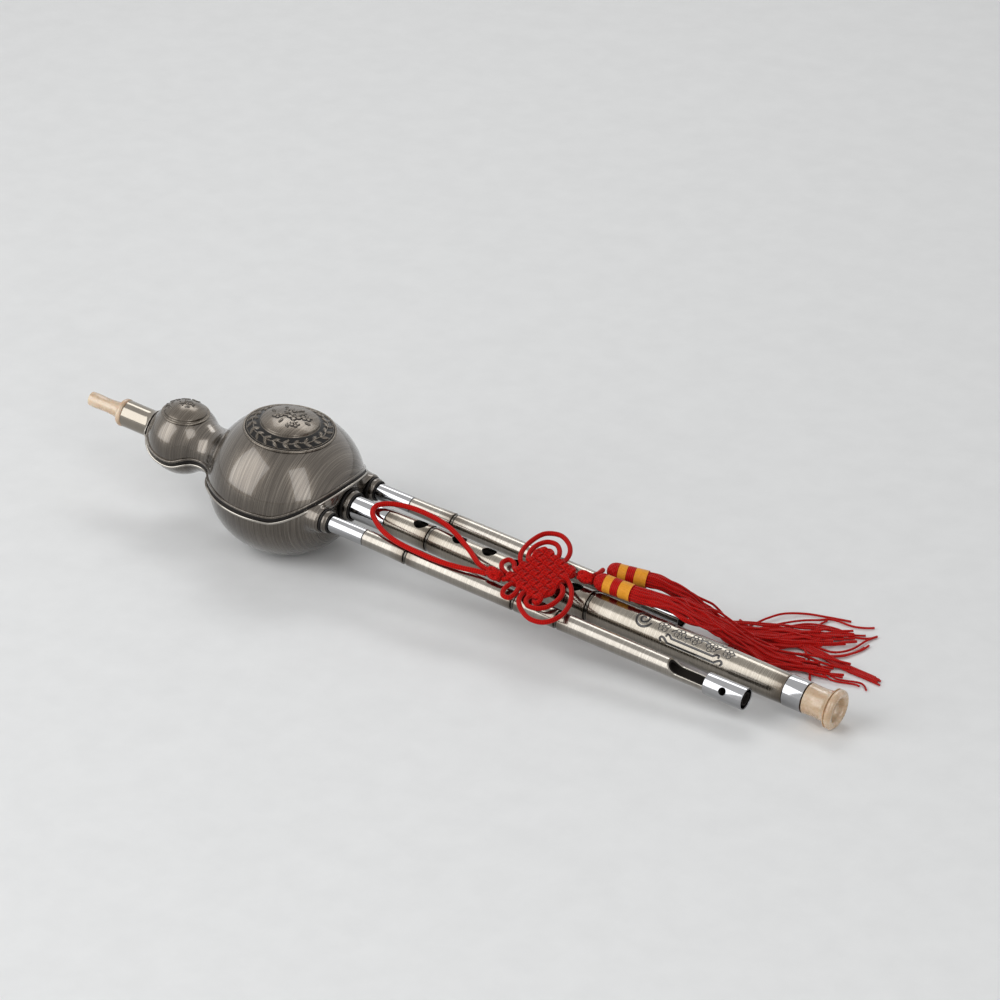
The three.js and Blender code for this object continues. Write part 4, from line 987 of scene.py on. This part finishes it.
def engraving(u, v):
    """A double frame with curled ends round three blossoms on a vine, a small blossom past each
    end and a scroll before them, as depths from 0 to 1."""
    scroll = []
    for k in range(40):
        x, y = on_circle(4.6 * (1 - k / 46), 0.3 + k * 1.8 * TAU / 40)
        scroll.append((x - 28.1, y))
    shapes = [line(u, v, scroll, 0.68)]
    outer = [(0, 6.9), (12.6, 6.9), (14.4, 5.4), (15.8, 5.0), (16.6, 5.9), (16.0, 7.0)]
    inner = [(0, 4.2), (11.2, 4.2), (12.6, 3.0), (13.8, 2.9), (14.0, 3.9)]
    for up, end in ((-1, -1), (-1, 1), (1, -1), (1, 1)):
        for places in (outer, inner):
            curve = catmull([(x * end, y * up, 0) for x, y in places[1:]], 6)[:, :2]
            shapes.append(line(u, v, [(0, places[0][1] * up), *curve], 0.62))
    flowers = np.zeros_like(u)
    for k, (cx, cy, size) in enumerate(((-8.4, 0.3, 2.9), (0.0, -0.2, 3.1), (8.4, 0.3, 2.9),
                                        (-17.4, 0.0, 2.9), (17.4, 0.0, 2.8))):
        flowers = np.maximum(flowers, blossom(u, v, (cx, cy), size, 0.3 * k))
    vine = line(u, v, [(-12.6, 0.9), (-10.5, -0.8), (-8.4, 0.3), (-4.5, 1.4), (0, -0.2), (4.5, -1.5),
                       (8.4, 0.3), (10.5, 1.1), (12.6, -0.9)], 0.55)
    shapes += [outlined(flowers), vine * (flowers < 0.05)]
    for cx, cy, turn in ((-5.4, 1.3, 0.9), (-3.4, 1.0, -0.7), (3.6, -1.2, -0.9), (5.4, -1.4, 0.6)):
        shapes.append(outlined(leaf(u, v, (cx, cy), turn, 2.5, 0.8)))
    return np.maximum.reduce(shapes)


def make_engraved_section():
    """The main pipe's last section, drawn as a fine net on its crown, which holds the engraving."""
    start, end, middle, reach, turn = 319.0, 374.0, 353.7, 1.08, math.radians(-17)
    at, radii = zip(*swell(SECOND_NODE + NODE_GAP, END_RING - END_GAP, SECOND_R, END_R))
    xs = [at[0], at[0] + 0.07, at[0] + 0.2, *(x for x in at[1:-1] if x < start),
          *np.linspace(start, end, 400), *(x for x in at[1:-1] if x > end),
          at[-1] - 0.2, at[-1] - 0.07, at[-1]]
    turns = turn + np.concatenate([np.linspace(-reach, reach, 150),
                                   np.linspace(reach, TAU - reach, 60)[1:-1]])
    x, a = np.meshgrid(xs, turns, indexing="ij")
    cuts = engraving(x - middle, (turn - a) * 7.45) * (a <= turn + reach)
    to_end = np.minimum(x - at[0], at[-1] - x)
    r = np.interp(x, at, radii) - 0.15 * cuts - 0.18 * (1 - np.sqrt(np.clip(to_end / 0.2, 0, 1)))
    inside = np.array([at[-1], at[0]])
    x = np.vstack([x, np.repeat(inside[:, None], len(turns), 1)])
    a = np.vstack([a, np.tile(turns, (2, 1))])
    r = np.vstack([r, np.repeat([[main_liner(v) + 0.3] for v in inside], len(turns), 1)])
    fill = np.clip(np.concatenate([cuts.ravel() * 1.6, np.zeros(2 * len(turns))]), 0, 1)
    verts = np.column_stack([x.ravel(), (r * np.sin(a)).ravel(), PIPE_Z + (r * np.cos(a)).ravel()])
    piece = add_mesh("main_section_3_skin", (verts, net(*x.shape, ring=True)), "main_pipe",
                     MAIN_NICKEL, 60, fill=fill)
    stand_for(piece, "nickel", "main_section_3")


def make_cap():
    skin = [(404.2, 4.6), (404.2, 5.5), (404.6, 5.8), (412.8, 5.8), (412.8, 7.2), (413.0, 7.4)]
    skin += [(413.4 + t * 8.4, 7.4 - 0.25 * math.sin(math.pi * t)) for t in np.linspace(0, 1, 12)]
    skin += [(421.8 + t * 3.6, 7.4 + 2.2 * t ** 2.2) for t in np.linspace(0.08, 1, 14)]
    skin += [(FLANGE_X + 1.911 * math.cos(r), 7.7 + 1.98 * math.sin(r))
             for r in np.radians(np.linspace(150, -60, 20))]
    skin += [(428.3 - 3.4 * math.sin(t * math.pi / 2), 5.95 - 1.35 * t)
             for t in np.linspace(0.1, 1, 12)]
    shape = revolve([*skin, (420.0, 4.6)], 96, (0.0, PIPE_Z))
    stand_for(add_mesh("end_cap_skin", shape, "end_cap", RESIN, 40), "resin", "end_cap")


def make_drone(name, y, length, side):
    at, pipe, sleeve, sides = (y, PIPE_Z), f"{name}_drone", f"{name}_sleeve", 72
    bore_r, sleeve_r, sleeve_bore, step = 3.5, 5.4, 4.7, 2
    hole_r, hole_back, hole_reach = 1.9, 10.2, 7.6
    end = NOSE_X + length
    sleeve_start = end - SLEEVE_LENGTH
    pipe_end = sleeve_start - END_GAP
    window = pipe_end - WINDOW_LENGTH
    ferrule = ring_profile(FERRULE_START, FERRULE_END, DRONE_FERRULE_R, bore_r)
    turned_skin(f"{pipe}_ferrule", "chrome", ferrule, pipe, CHROME, at, 0.2, sides)
    starts = [FERRULE_END + END_GAP, *(x + NODE_GAP for x in DRONE_NODES)]
    stops = [*(x - NODE_GAP for x in DRONE_NODES), pipe_end]
    for i, (start, stop) in enumerate(zip(starts, stops)):
        last = stop == pipe_end
        outer = swell(start, stop, DRONE_NODE_R if i else DRONE_FERRULE_R,
                      DRONE_END_R if last else DRONE_NODE_R)
        make_section(f"{pipe}_section_{i + 1}", outer, drone_liner, pipe, at, DRONE_NICKEL, sides,
                     *([window_cutter(window, at)] if last else []))
    # The node bands' dark colour paints the shade in the node grooves.
    for i, x in enumerate(DRONE_NODES):
        band = ring_profile(x - 0.6, x + 0.6, 4.15, bore_r)
        turned(f"{pipe}_node_band_{i + 1}", band, pipe, DARK_WIRE, at, 0.25, sides)
    profile = [(sleeve_start, bore_r), (sleeve_start, sleeve_r), (end, sleeve_r), (end, sleeve_bore),
               (sleeve_start + step, sleeve_bore), (sleeve_start + step, bore_r)]
    skin = turned(f"{sleeve}_skin", profile, sleeve, CHROME, at, 0.28, 96)
    turn = math.radians(65) * -side
    verts = [(end - hole_back + c, y + s * math.cos(turn) - z * math.sin(turn),
              PIPE_Z + s * math.sin(turn) + z * math.cos(turn))
             for z in (0.0, hole_reach) for c, s in circle(hole_r, 40)]
    sound_hole = verts, net(2, 40, caps=True)
    tube = ring_profile(LINER_START, end - END_GAP, DRONE_LINER_R, DRONE_LINER_R - 0.6)
    liner = add_mesh(f"{pipe}_liner_skin", revolve(tube, 64, at), pipe, LINER)
    cut(liner, 40, window_cutter(window, at), cutter("sound_hole", *sound_hole))
    stand_for(liner, "liner", f"{pipe}_liner")
    cut(skin, 40, cutter("sound_hole", *sound_hole))
    stand_for(skin, "chrome", f"{name}_drone_sleeve")


def make_sockets():
    gap, ring_length, nut_length, seal_length, sides = 0.15, 1.1, 2.4, 0.55, 80
    for name, y, ferrule, radius in (("main", 0.0, FERRULE_R, 8.0),
                                     ("near", -DRONE_Y, DRONE_FERRULE_R, 6.0),
                                     ("far", DRONE_Y, DRONE_FERRULE_R, 6.0)):
        at, inner = (y, PIPE_Z), ferrule + 0.3
        ring = NOSE_X + gap
        nut = ring + ring_length + gap
        nut_end = nut + nut_length
        lip, lip_r = nut_end + gap, radius - 0.9
        for part, slot, material, rounding, profile in (
                ("ring", "black_seal", RUBBER, 0.4,
                 ring_profile(ring, ring + ring_length, radius, inner)),
                ("nut", "nickel", NICKEL, 0.3,
                 [(nut, inner), (nut, radius - 0.3), (nut + nut_length / 2, radius - 0.35),
                  (nut_end, lip_r), (nut_end, inner)]),
                ("seal", "black_seal", RUBBER, 0.2,
                 ring_profile(lip, lip + seal_length, lip_r, inner))):
            turned_skin(f"{name}_socket_{part}", slot, profile, "gourd", material, at, rounding, sides)


def make_mouthpiece():
    skin = [(0.35, 2.2)]
    skin += [(0.9 - 0.9 * math.sin(a), 2.6 + 0.95 * math.sin(a))
             for a in np.linspace(0, math.pi / 2, 8)]
    skin += [(1.6, 3.6), (3.4, 3.72), (5.2, 3.68), (8.5, 3.5), (12, 3.56), (15.5, 3.85),
             (18.2, 4.25), (19.15, 4.5), (19.25, 4.7)]
    skin += [(20.85 + 1.45 * math.cos(a), 6.0 + 1.1 * math.sin(a))
             for a in np.linspace(math.pi, 0, 16)]
    skin += [(22.3, 4.0), (22.4, 3.9), (34.1, 3.9), (34.3, 3.7), (34.3, 2.2)]
    piece = add_mesh("mouthpiece_skin", revolve(skin), "mouthpiece", RESIN, 40)
    stand_for(piece, "resin", "mouthpiece")


# The charm

LOOP = [
    (247.6, -14.6, 7.9), (240.5, -12.6, 7.9), (229.5, -5.6, 8.6), (212, 2.6, 10.2), (195.5, 5.6, 10),
    (184.5, 4.8, 9.6), (177.6, 1.2, 9.5), (174.6, -3, 9.1), (175.6, -7.6, 8.3), (181.5, -13, 7.8),
    (190, -18.4, 7.8), (199, -21.2, 7.6), (211, -22.4, 7.6), (224, -22.4, 7.6), (235, -20.8, 7.8),
    (243.2, -18.4, 8), (247.6, -17.4, 8),
]
PARTING = [(291.2, 7.4, 13.2), (291.6, 10.5, 12.9), (291, 13.8, 12.2), (290.4, 16.4, 11.5)]
KNOT_LEFT, KNOT_TOP, KNOT_BOTTOM = (np.array(p, dtype=float) for p in (
    (259, -13.9, 9.3), (261.3, 10, 12.5), (278, -20, 8.5)))
KNOT_ACROSS, KNOT_RISE = (KNOT_BOTTOM - KNOT_LEFT) / 5, (KNOT_TOP - KNOT_LEFT) / 5
KNOT_NORMAL = unit(np.cross(KNOT_ACROSS, KNOT_RISE))
# The knot's one cord: strands of the weave (rising, line, forward), and turns in its grid between
KNOT_ROUTE = [
    [(-0.5, -0.9, 0), (-0.05, -0.6, 0.4)],
    (True, 0, True),
    [(0.05, 5.4, -0.4), (0.5, 5.62, 0), (0.95, 5.4, 0.4)],
    (True, 1, False),
    [(0.85, -0.7, 0), (0.85, -1.7, 0), (1.5, -2.4, 0), (2.3, -2.2, 0), (2.4, -1.3, 0), (2.1, -0.6, 0)],
    (True, 2, True),
    [(2, 5.6, 0), (1.3, 6.4, 0), (0.2, 6.75, 0), (-0.9, 6.3, 0), (-1.45, 5.2, 0), (-1.3, 4, 0),
     (-0.7, 3.2, 0)],
    (False, 3, True),
    [(5.8, 3, 0), (6.7, 2.4, 0), (7.1, 1.2, 0), (6.9, -0.2, 0), (6.1, -1.1, 0), (5, -1.5, 0),
     (4.2, -1.1, 0), (4, -0.5, 0)],
    (True, 4, True),
    [(4.05, 5.4, -0.4), (4.5, 5.62, 0), (4.95, 5.4, 0.4)],
    (True, 5, False),
    [(5.05, -0.5, -0.45), (5.5, -0.6, 0), (5.6, -0.05, 0.45)],
    (False, 0, False),
    [(-0.8, -0.05, 0), (-1.8, 0.1, 0), (-2.5, 0.7, 0), (-2.3, 1.5, 0), (-1.4, 1.6, 0), (-0.7, 1.1, 0)],
    (False, 1, True),
    [(5.5, 1.05, 0), (5.7, 1.5, 0), (5.5, 1.95, 0)],
    (False, 2, False),
    [(-1.2, 2.4, 0), (-2.1, 3.4, 0), (-2.5, 5.2, 0), (-2.1, 7, 0), (-0.5, 8, 0), (1.3, 7.8, 0),
     (2.6, 6.9, 0), (3.05, 5.7, 0)],
    (True, 3, False),
    [(3.05, -0.7, 0), (3.6, -1.7, 0), (5, -2.4, 0), (6.8, -2.6, 0), (8.4, -1.9, 0), (9.2, -0.2, 0),
     (8.7, 1.8, 0), (7.4, 3.2, 0), (6.1, 3.9, 0)],
    (False, 4, False),
    [(-0.5, 4.05, 0), (-0.7, 4.5, 0), (-0.5, 4.95, 0)],
    (False, 5, True),
    [(5.55, 5.3, 0)],
]
HEADS = {"front": ((293.5, 3.9, 13.7), (313.4, 5.6, 13.5)),
         "back": ((291.4, 18.5, 11.2), (310.6, 23.9, 11.0))}
# The middles of the tassels' skirts, with half their width and thickness
SKIRTS = {
    "front": [((325, 8.5, 13.2), 6, 3), ((336, 12, 11.8), 9.5, 2.4), ((347, 15.5, 8.4), 11, 2.6),
              ((358, 21.5, 1.8), 11.5, 3.2), ((372, 30.5, -7.0), 11, 2.8), ((392, 38, -8.4), 10, 2),
              ((414, 42.5, -7.3), 9, 1.4)],
    "back": [((319, 26.5, 10.2), 4.8, 3.2), ((328, 30, 7), 6.5, 3.4), ((337, 34, 0.5), 7.5, 3.6),
             ((347, 40, -8), 8.5, 3.2), ((360, 47, -10.6), 9.5, 2.4), ((374, 55, -9.9), 10, 2.1),
             ((388, 64, -9.1), 9, 1.8), ((402, 76, -8.4), 7, 1.3)],
}
# Stray strands on the ground, as places (x, y), each with a count of strands and their spread
STRAYS = [
    ([(346, 44), (350.4, 56), (353.2, 65.1), (358, 73.3), (366.2, 80.3), (376.4, 83.8),
      (386.9, 86.7)], 1, 0.0),
    ([(347, 41), (353.3, 51), (360.4, 64.4), (369.2, 72.6), (375.2, 78.7), (379.5, 83.1),
      (390.2, 83.3), (396.8, 85.8), (399.7, 88)], 1, 0.0),
    ([(348, 40), (355.7, 47), (364.7, 61.6), (372.7, 71.3), (384.1, 74.9), (394.7, 75.1),
      (401.9, 79.1), (404.6, 83.8)], 2, 1.4),
    ([(352, 34), (362.6, 37.7), (373.5, 46.6), (381.4, 56.2), (394.5, 56.7), (401, 64),
      (403.2, 76.7), (404.6, 82.7)], 1, 0.0),
    ([(355, 33), (365.7, 37), (376.6, 52.9), (388.9, 50.1), (399, 55.7), (403.9, 66),
      (404.7, 77.7)], 2, 1.6),
    ([(350, 42), (359.8, 47), (376.6, 52.9), (390.8, 51.4), (406, 48), (420, 46.7),
      (428.4, 45.6)], 9, 5.0),
    ([(376, 30), (387.1, 32.4), (394.5, 40.2), (406.8, 35), (419.5, 38.2), (424.6, 33.6)], 2, 2.4),
    ([(343, 58), (350, 55), (359.8, 47), (368, 39), (378.1, 31.7)], 1, 0.0),
    ([(376, 60.9), (382, 52), (388.3, 44.2), (398.3, 29.1)], 1, 0.0),
    ([(384, 50), (382, 55.1), (378.7, 65.5), (377, 75.7), (377.8, 81.3)], 1, 0.0),
]


def strand(rising, line_at, forward):
    """A strand of the weave, as places that go over and under the six that cross it."""
    places = []
    for at in range(6) if forward else range(5, -1, -1):
        side = 1 if (line_at + at) % 2 == (0 if rising else 1) else -1
        places.append((line_at, at, side) if rising else (at, line_at, side))
    return places


def make_knot():
    """The knot's cord lies doubled, two lobes side by side, in the weave and single in its loops."""
    places = [p for part in KNOT_ROUTE for p in (part if isinstance(part, list) else strand(*part))]
    route = [KNOT_LEFT + s * KNOT_ACROSS + t * KNOT_RISE + z * 1.4 * KNOT_NORMAL
             for s, t, z in places]
    path = resample(catmull(route, 8), 0.55)
    s, t, _ = np.linalg.solve(np.column_stack([KNOT_ACROSS, KNOT_RISE, KNOT_NORMAL]),
                              (path - KNOT_LEFT).T)
    edge = np.minimum.reduce([s + 0.62, 5.62 - s, t + 0.62, 5.62 - t])
    doubled = smooth(edge, 0.0, 0.42)[:, None, None]
    turn = np.linspace(0, TAU, 28, endpoint=False)
    reach, single_r = 1.04, 1.18
    side = 2 * reach * np.sin(turn)
    height = np.sqrt(np.maximum(reach ** 2 - (np.abs(side) - reach) ** 2, 0))
    height = np.sign(np.cos(turn).round(6)) * np.maximum(height, 0.4 * (np.abs(side) < 1))
    lobes = np.column_stack([height, side])[None]
    single = np.column_stack([single_r * np.cos(turn), single_r * np.sin(turn)])[None]
    shape = sweep(path, doubled * lobes + (1 - doubled) * single, up=KNOT_NORMAL)
    piece = add_mesh("endless_knot_weave", shape, "charm", KNOT_CORD, 60)
    return stand_for(piece, "red_cord", "endless_knot")


def make_cord(node, route, radius, sides, step):
    shape = sweep(resample(route, step), circle(radius, sides))
    return stand_for(add_mesh(f"{node}_braid", shape, "charm", RED_CORD, 60), "red_cord", node)


def laid_along(start, end, local):
    """Places drawn on the X axis, laid along the line from start to end."""
    axis = unit(np.array(end, dtype=float) - np.array(start, dtype=float))
    side = unit(np.cross([0, 0, 1.0], axis))
    return np.array(start) + np.asarray(local) @ np.array([axis, side, np.cross(axis, side)])


def make_button(node, start, end):
    """A tight knot of one cord wound three times round, over and under itself."""
    t = np.linspace(0, TAU, 260, endpoint=False)
    middle = math.dist(start, end) / 2
    swing = middle - 1.35
    rho = 1.95 - 0.75 * np.abs(np.sin(4 * t)) ** 3 + 0.32 * np.cos(12 * t)
    wound = np.column_stack([middle + swing * np.sin(4 * t), rho * np.cos(3 * t),
                             rho * np.sin(3 * t)])
    cord = sweep(resample(laid_along(start, end, wound), 0.6, True), circle(1.2, 12), True)
    core = [(middle - swing * math.cos(a), max(0.02, 2.1 * math.sin(a)))
            for a in np.linspace(0, math.pi, 13)]
    verts, faces = revolve(core, 16, ring=False)
    core = laid_along(start, end, verts), faces, [(0, 0)] * (4 * len(faces))
    piece = add_mesh(f"{node}_weave", gather([cord, core]), "charm", KNOT_CORD, 60)
    return stand_for(piece, "red_cord", node)


def make_tassel_head(name):
    """A head bound with thread: netted cap, then yellow, red and yellow bands."""
    cap_end, first, second, sides = 6.0, 10.0, 14.0, 96
    start, end = HEADS[name]
    length = math.dist(start, end)
    xs = np.concatenate([np.linspace(0, cap_end, 60), np.linspace(6.02, length, 170)])
    x, a = np.meshgrid(xs, np.linspace(0, TAU, sides, endpoint=False), indexing="ij")
    to_cap = (cap_end - np.minimum(x, cap_end)) / cap_end
    dome = 4.15 * np.sqrt(np.clip(1 - to_cap ** 2.4, 0.002, 1))
    mesh = np.minimum(np.abs(np.sin(5 * a + 1.25 * x)), np.abs(np.sin(5 * a - 1.25 * x)))
    cap = dome + 0.34 * (1 - smooth(mesh, 0.1, 0.55)) * smooth(x, 0.2, 1.0)
    wound = 4.22 + 0.1 * np.abs(np.sin(math.pi * x / 0.62 + 0.5 * a / math.pi))
    groove = 1 - smooth(np.minimum(np.abs(x - first), np.abs(x - second)), 0, 0.3)
    radius = np.where(x <= cap_end, cap, wound - 0.14 * groove)
    local = np.column_stack([x.ravel(), (radius * np.cos(a)).ravel(), (radius * np.sin(a)).ravel()])
    mid = (xs[:-1] + xs[1:]) / 2
    gold = (mid >= cap_end) & ((mid < first) | (mid >= second))
    shape = (laid_along(start, end, local), net(len(xs), sides, caps=True),
             net_uvs(xs, sides) + [(0, 0)] * (2 * sides))
    piece = add_mesh(f"{name}_tassel_binding", shape, "charm", [RED_THREAD, GOLD_THREAD], 70,
                     np.concatenate([np.repeat(gold, sides), [0, 0]]))
    stand_for(piece, "red_cord", f"{name}_tassel_head")


def ground(x):
    """Height of the ground in the instrument's frame, which is tipped on it."""
    return (x * math.sin(PITCH) - PLACE.z / MM) / math.cos(PITCH)


def clear_pipes(p, radius):
    """Pushes points out of the pipes, with the far drone drawn out, and up from the ground."""
    for y, r, end in ((0.0, MAIN_CLEAR, LENGTH), (DRONE_Y, DRONE_CLEAR, FAR_END + FAR_TRAVEL)):
        dy, dz = p[..., 1] - y, p[..., 2] - PIPE_Z
        distance, want = np.hypot(dy, dz), r + radius + 0.15
        low = (distance < want) & (p[..., 0] < end) & (p[..., 0] > FERRULE_END - 0.5)
        push = np.where(low, want / np.maximum(distance, 1e-3), 1.0)
        p[..., 1] = y + dy * push
        p[..., 2] = PIPE_Z + dz * push
    p[..., 2] = np.maximum(p[..., 2], ground(p[..., 0]) + radius + 0.05)
    return p


def make_tassel_skirt(name, strands, seed, radius=0.6):
    """Loose strands that leave the head square, drape over the far drone and spread on the ground."""
    rng = random.Random(seed)
    start, end = (np.array(p, dtype=float) for p in HEADS[name])
    axis = unit(end - start)
    root, inset, step = start + axis * 20.2, 0.96, 1.6
    stations = [(root - 1.5 * axis, 3.5, 3.5), (root + 2 * axis, 3.7, 3.7), *SKIRTS[name]]
    middles, widths, thicks = zip(*stations)
    centres = catmull(middles, 10)
    total = len(centres)
    steps = np.arange(total) / 10
    widths = np.interp(steps, np.arange(len(stations)), widths)
    thicks = np.interp(steps, np.arange(len(stations)), thicks)
    tangent = unit(np.gradient(centres, axis=0))
    across = unit(np.cross([0, 0, 1.0], tangent))
    normal = np.cross(tangent, across)
    along = np.arange(total) / (total - 1)
    golden = math.pi * (3 - math.sqrt(5))
    parts = []
    for k in range(strands):
        home = np.array(on_circle(math.sqrt((k + 0.5) / strands), k * golden))
        goal = 0.55 * np.array(on_circle(math.sqrt(rng.random()), rng.uniform(0, TAU))) - 0.45 * home
        drift = smooth(along, 0.1, rng.uniform(0.55, 0.95))[:, None]
        wander = np.zeros((total, 2))
        for wave in (1.1, 2.3, 4.4, 7.5):
            phase = rng.uniform(0, TAU), rng.uniform(0, TAU)
            size = rng.uniform(0.08, 0.34) / wave ** 0.55
            wander += size * np.sin((wave * TAU * along)[:, None] + phase)
        grow = smooth(along, 0.05, 0.4)[:, None]
        cross = (1 - drift) * home + drift * goal + wander * grow
        size = np.linalg.norm(cross, axis=1)
        limit = 1.0 + 0.18 * grow[:, 0] * rng.random()
        cross *= (np.minimum(size, limit) / np.maximum(size, 1e-6))[:, None]
        path = (centres + (inset * widths * cross[:, 0])[:, None] * across
                + (inset * thicks * cross[:, 1])[:, None] * normal)
        path = path[:int(total * rng.choice((rng.uniform(0.68, 0.9), rng.uniform(0.86, 1.0))))]
        for _ in range(3):
            path = clear_pipes(path, radius)
            path[1:-1] = (path[:-2] + 2 * path[1:-1] + path[2:]) / 4
        path = resample(catmull(clear_pipes(path, radius)[::3], 4), step)
        parts.append(sweep(path, circle(radius * rng.uniform(0.85, 1.05), 6)))
    if name == "back":
        parts += stray_strands(rng, radius)
    piece = add_mesh(f"{name}_tassel_strands", gather(parts), "charm", RED_THREAD, 70)
    stand_for(piece, "red_cord", f"{name}_tassel_skirt")


def stray_strands(rng, radius):
    """Single strands that leave the heap and curl over the ground, crossing one another."""
    parts = []
    for places, count, spread in STRAYS:
        for k in range(count):
            side = 0.0 if count == 1 else spread * (k / (count - 1) - 0.5)
            lean = rng.uniform(-1.2, 1.2)
            route = []
            for i, (x, y) in enumerate(places):
                t = i / (len(places) - 1)
                lift = 0.6 + 1.6 * rng.random() * math.sin(math.pi * t)
                route.append((x + rng.uniform(-0.8, 0.8), y + side + lean * t,
                              ground(x) + radius + lift * (1 - 0.8 * t)))
            stop = 1.0 if count == 1 else rng.uniform(0.8, 1.0)
            path = catmull(route, 10)
            path = resample(clear_pipes(path[:int(len(path) * stop)], radius), 1.4)
            parts.append(sweep(path, circle(radius * rng.uniform(0.8, 0.95), 6)))
    return parts


def make_charm():
    route = catmull(LOOP, 16)
    loop = make_cord("hanging_loop", route, 1.28, 14, 0.8)
    knot = make_knot()
    left = make_button("left_button_knot", (247.4, -16.5, 9.4), (256.6, -17.9, 9.6))
    right = make_button("right_button_knot", (284.6, 3.4, 12.7), (293.6, 3.9, 13.4))
    make_cord("parting_cord", catmull(PARTING, 10), 1.2, 12, 0.7)
    for name, count, seed in (("front", 74, 11), ("back", 52, 29)):
        make_tassel_head(name)
        make_tassel_skirt(name, count, seed)
    settle()


# The studio

def make_floor(half_size=6.0):
    mesh = bpy.data.meshes.new("floor")
    corners = [(x * half_size, y * half_size, 0) for x, y in ((-1, -1), (1, -1), (1, 1), (-1, 1))]
    mesh.from_pydata(corners, [], [(0, 1, 2, 3)])
    shader = Shader("floor_paper", Roughness=0.7, Specular_IOR_Level=0.2)
    colour = shader.ramp(shader.noise(60.0, 4.0), (0.3, (0.80, 0.80, 0.795)), (0.7, (0.83, 0.83, 0.825)))
    shader.tree.links.new(colour, shader.bsdf.inputs["Base Color"])
    mesh.materials.append(shader.material)
    placed("floor", mesh)


def make_lamp(name, azimuth, elevation, distance, width, height, power):
    direction = towards(azimuth, elevation)
    data = assign(bpy.data.lights.new(name, "AREA"), shape="RECTANGLE", size=width, size_y=height,
                  energy=power, color=(0.975, 0.988, 1.0))
    assign(placed(name, data), location=Vector((0.0, 0.0, 0.03)) + direction * distance,
           rotation_euler=direction.to_track_quat("Z", "Y").to_euler())


def make_world():
    """White where the camera or a mirror sees it, and dim as a light of its own."""
    scene.world = bpy.data.worlds.new("studio")
    scene.world.use_nodes = True
    tree = scene.world.node_tree
    seen = add_node(tree, "ShaderNodeLightPath", {})
    most = seen["Is Camera Ray"]
    for ray in ("Is Glossy Ray", "Is Transmission Ray"):
        most = add_node(tree, "ShaderNodeMath", {0: most, 1: seen[ray]}, operation="MAXIMUM")[0]
    strength = add_node(tree, "ShaderNodeMapRange", {"Value": most, "To Min": 0.27, "To Max": 1.0})
    background = tree.nodes["Background"]
    background.inputs["Color"].default_value = (1.0, 1.0, 1.0, 1.0)
    tree.links.new(strength["Result"], background.inputs["Strength"])


scene.view_settings.view_transform = "Standard"
make_world()
make_floor()
make_lamp("left_window", -38, 30, 1.7, 1.4, 1.7, 21.5)
make_lamp("right_window", 58, 29, 1.75, 0.78, 1.7, 11.2)
make_lamp("back_window", -150, 48, 1.6, 0.9, 0.5, 5.7)

make_charm()
make_upper_shell()
make_lower_shell()
seam_bead("upper_lip", 1.3, -0.6, 0.8, 0.62, 0.5, NICKEL)
seam_bead("lower_lip", -1.45, -0.6, 1.5, 0.6, 0.55, BRIGHT_WIRE)
stand_for(seam_bead("seam_gasket_skin", -0.05, -0.8, 0.5, 0.95, 0.4, RUBBER), "black_seal",
          "seam_gasket")
medallion("large_medallion", LARGE_X, 22.6, 190, 420, large_heights)
medallion("small_medallion", SMALL_X, 11.9, 110, 260, small_heights)
make_sockets()
make_main_pipe()
make_cap()
make_drone("near", -DRONE_Y, 235.0, -1)
make_drone("far", DRONE_Y, 177.5, 1)
make_mouthpiece()

# The inner parts that take LINER are near black, which also paints the shade inside the bores.
KEPT = {"liner": LINER, "plug": LINER, "pipe_seat": LINER, "reed": BRASS, "cork": CORK}
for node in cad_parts:
    obj = bpy.data.objects.get(node)
    for ending, material in KEPT.items():
        if obj is not None and node.endswith(ending):
            for slot in obj.material_slots:
                slot.material = material

settle()
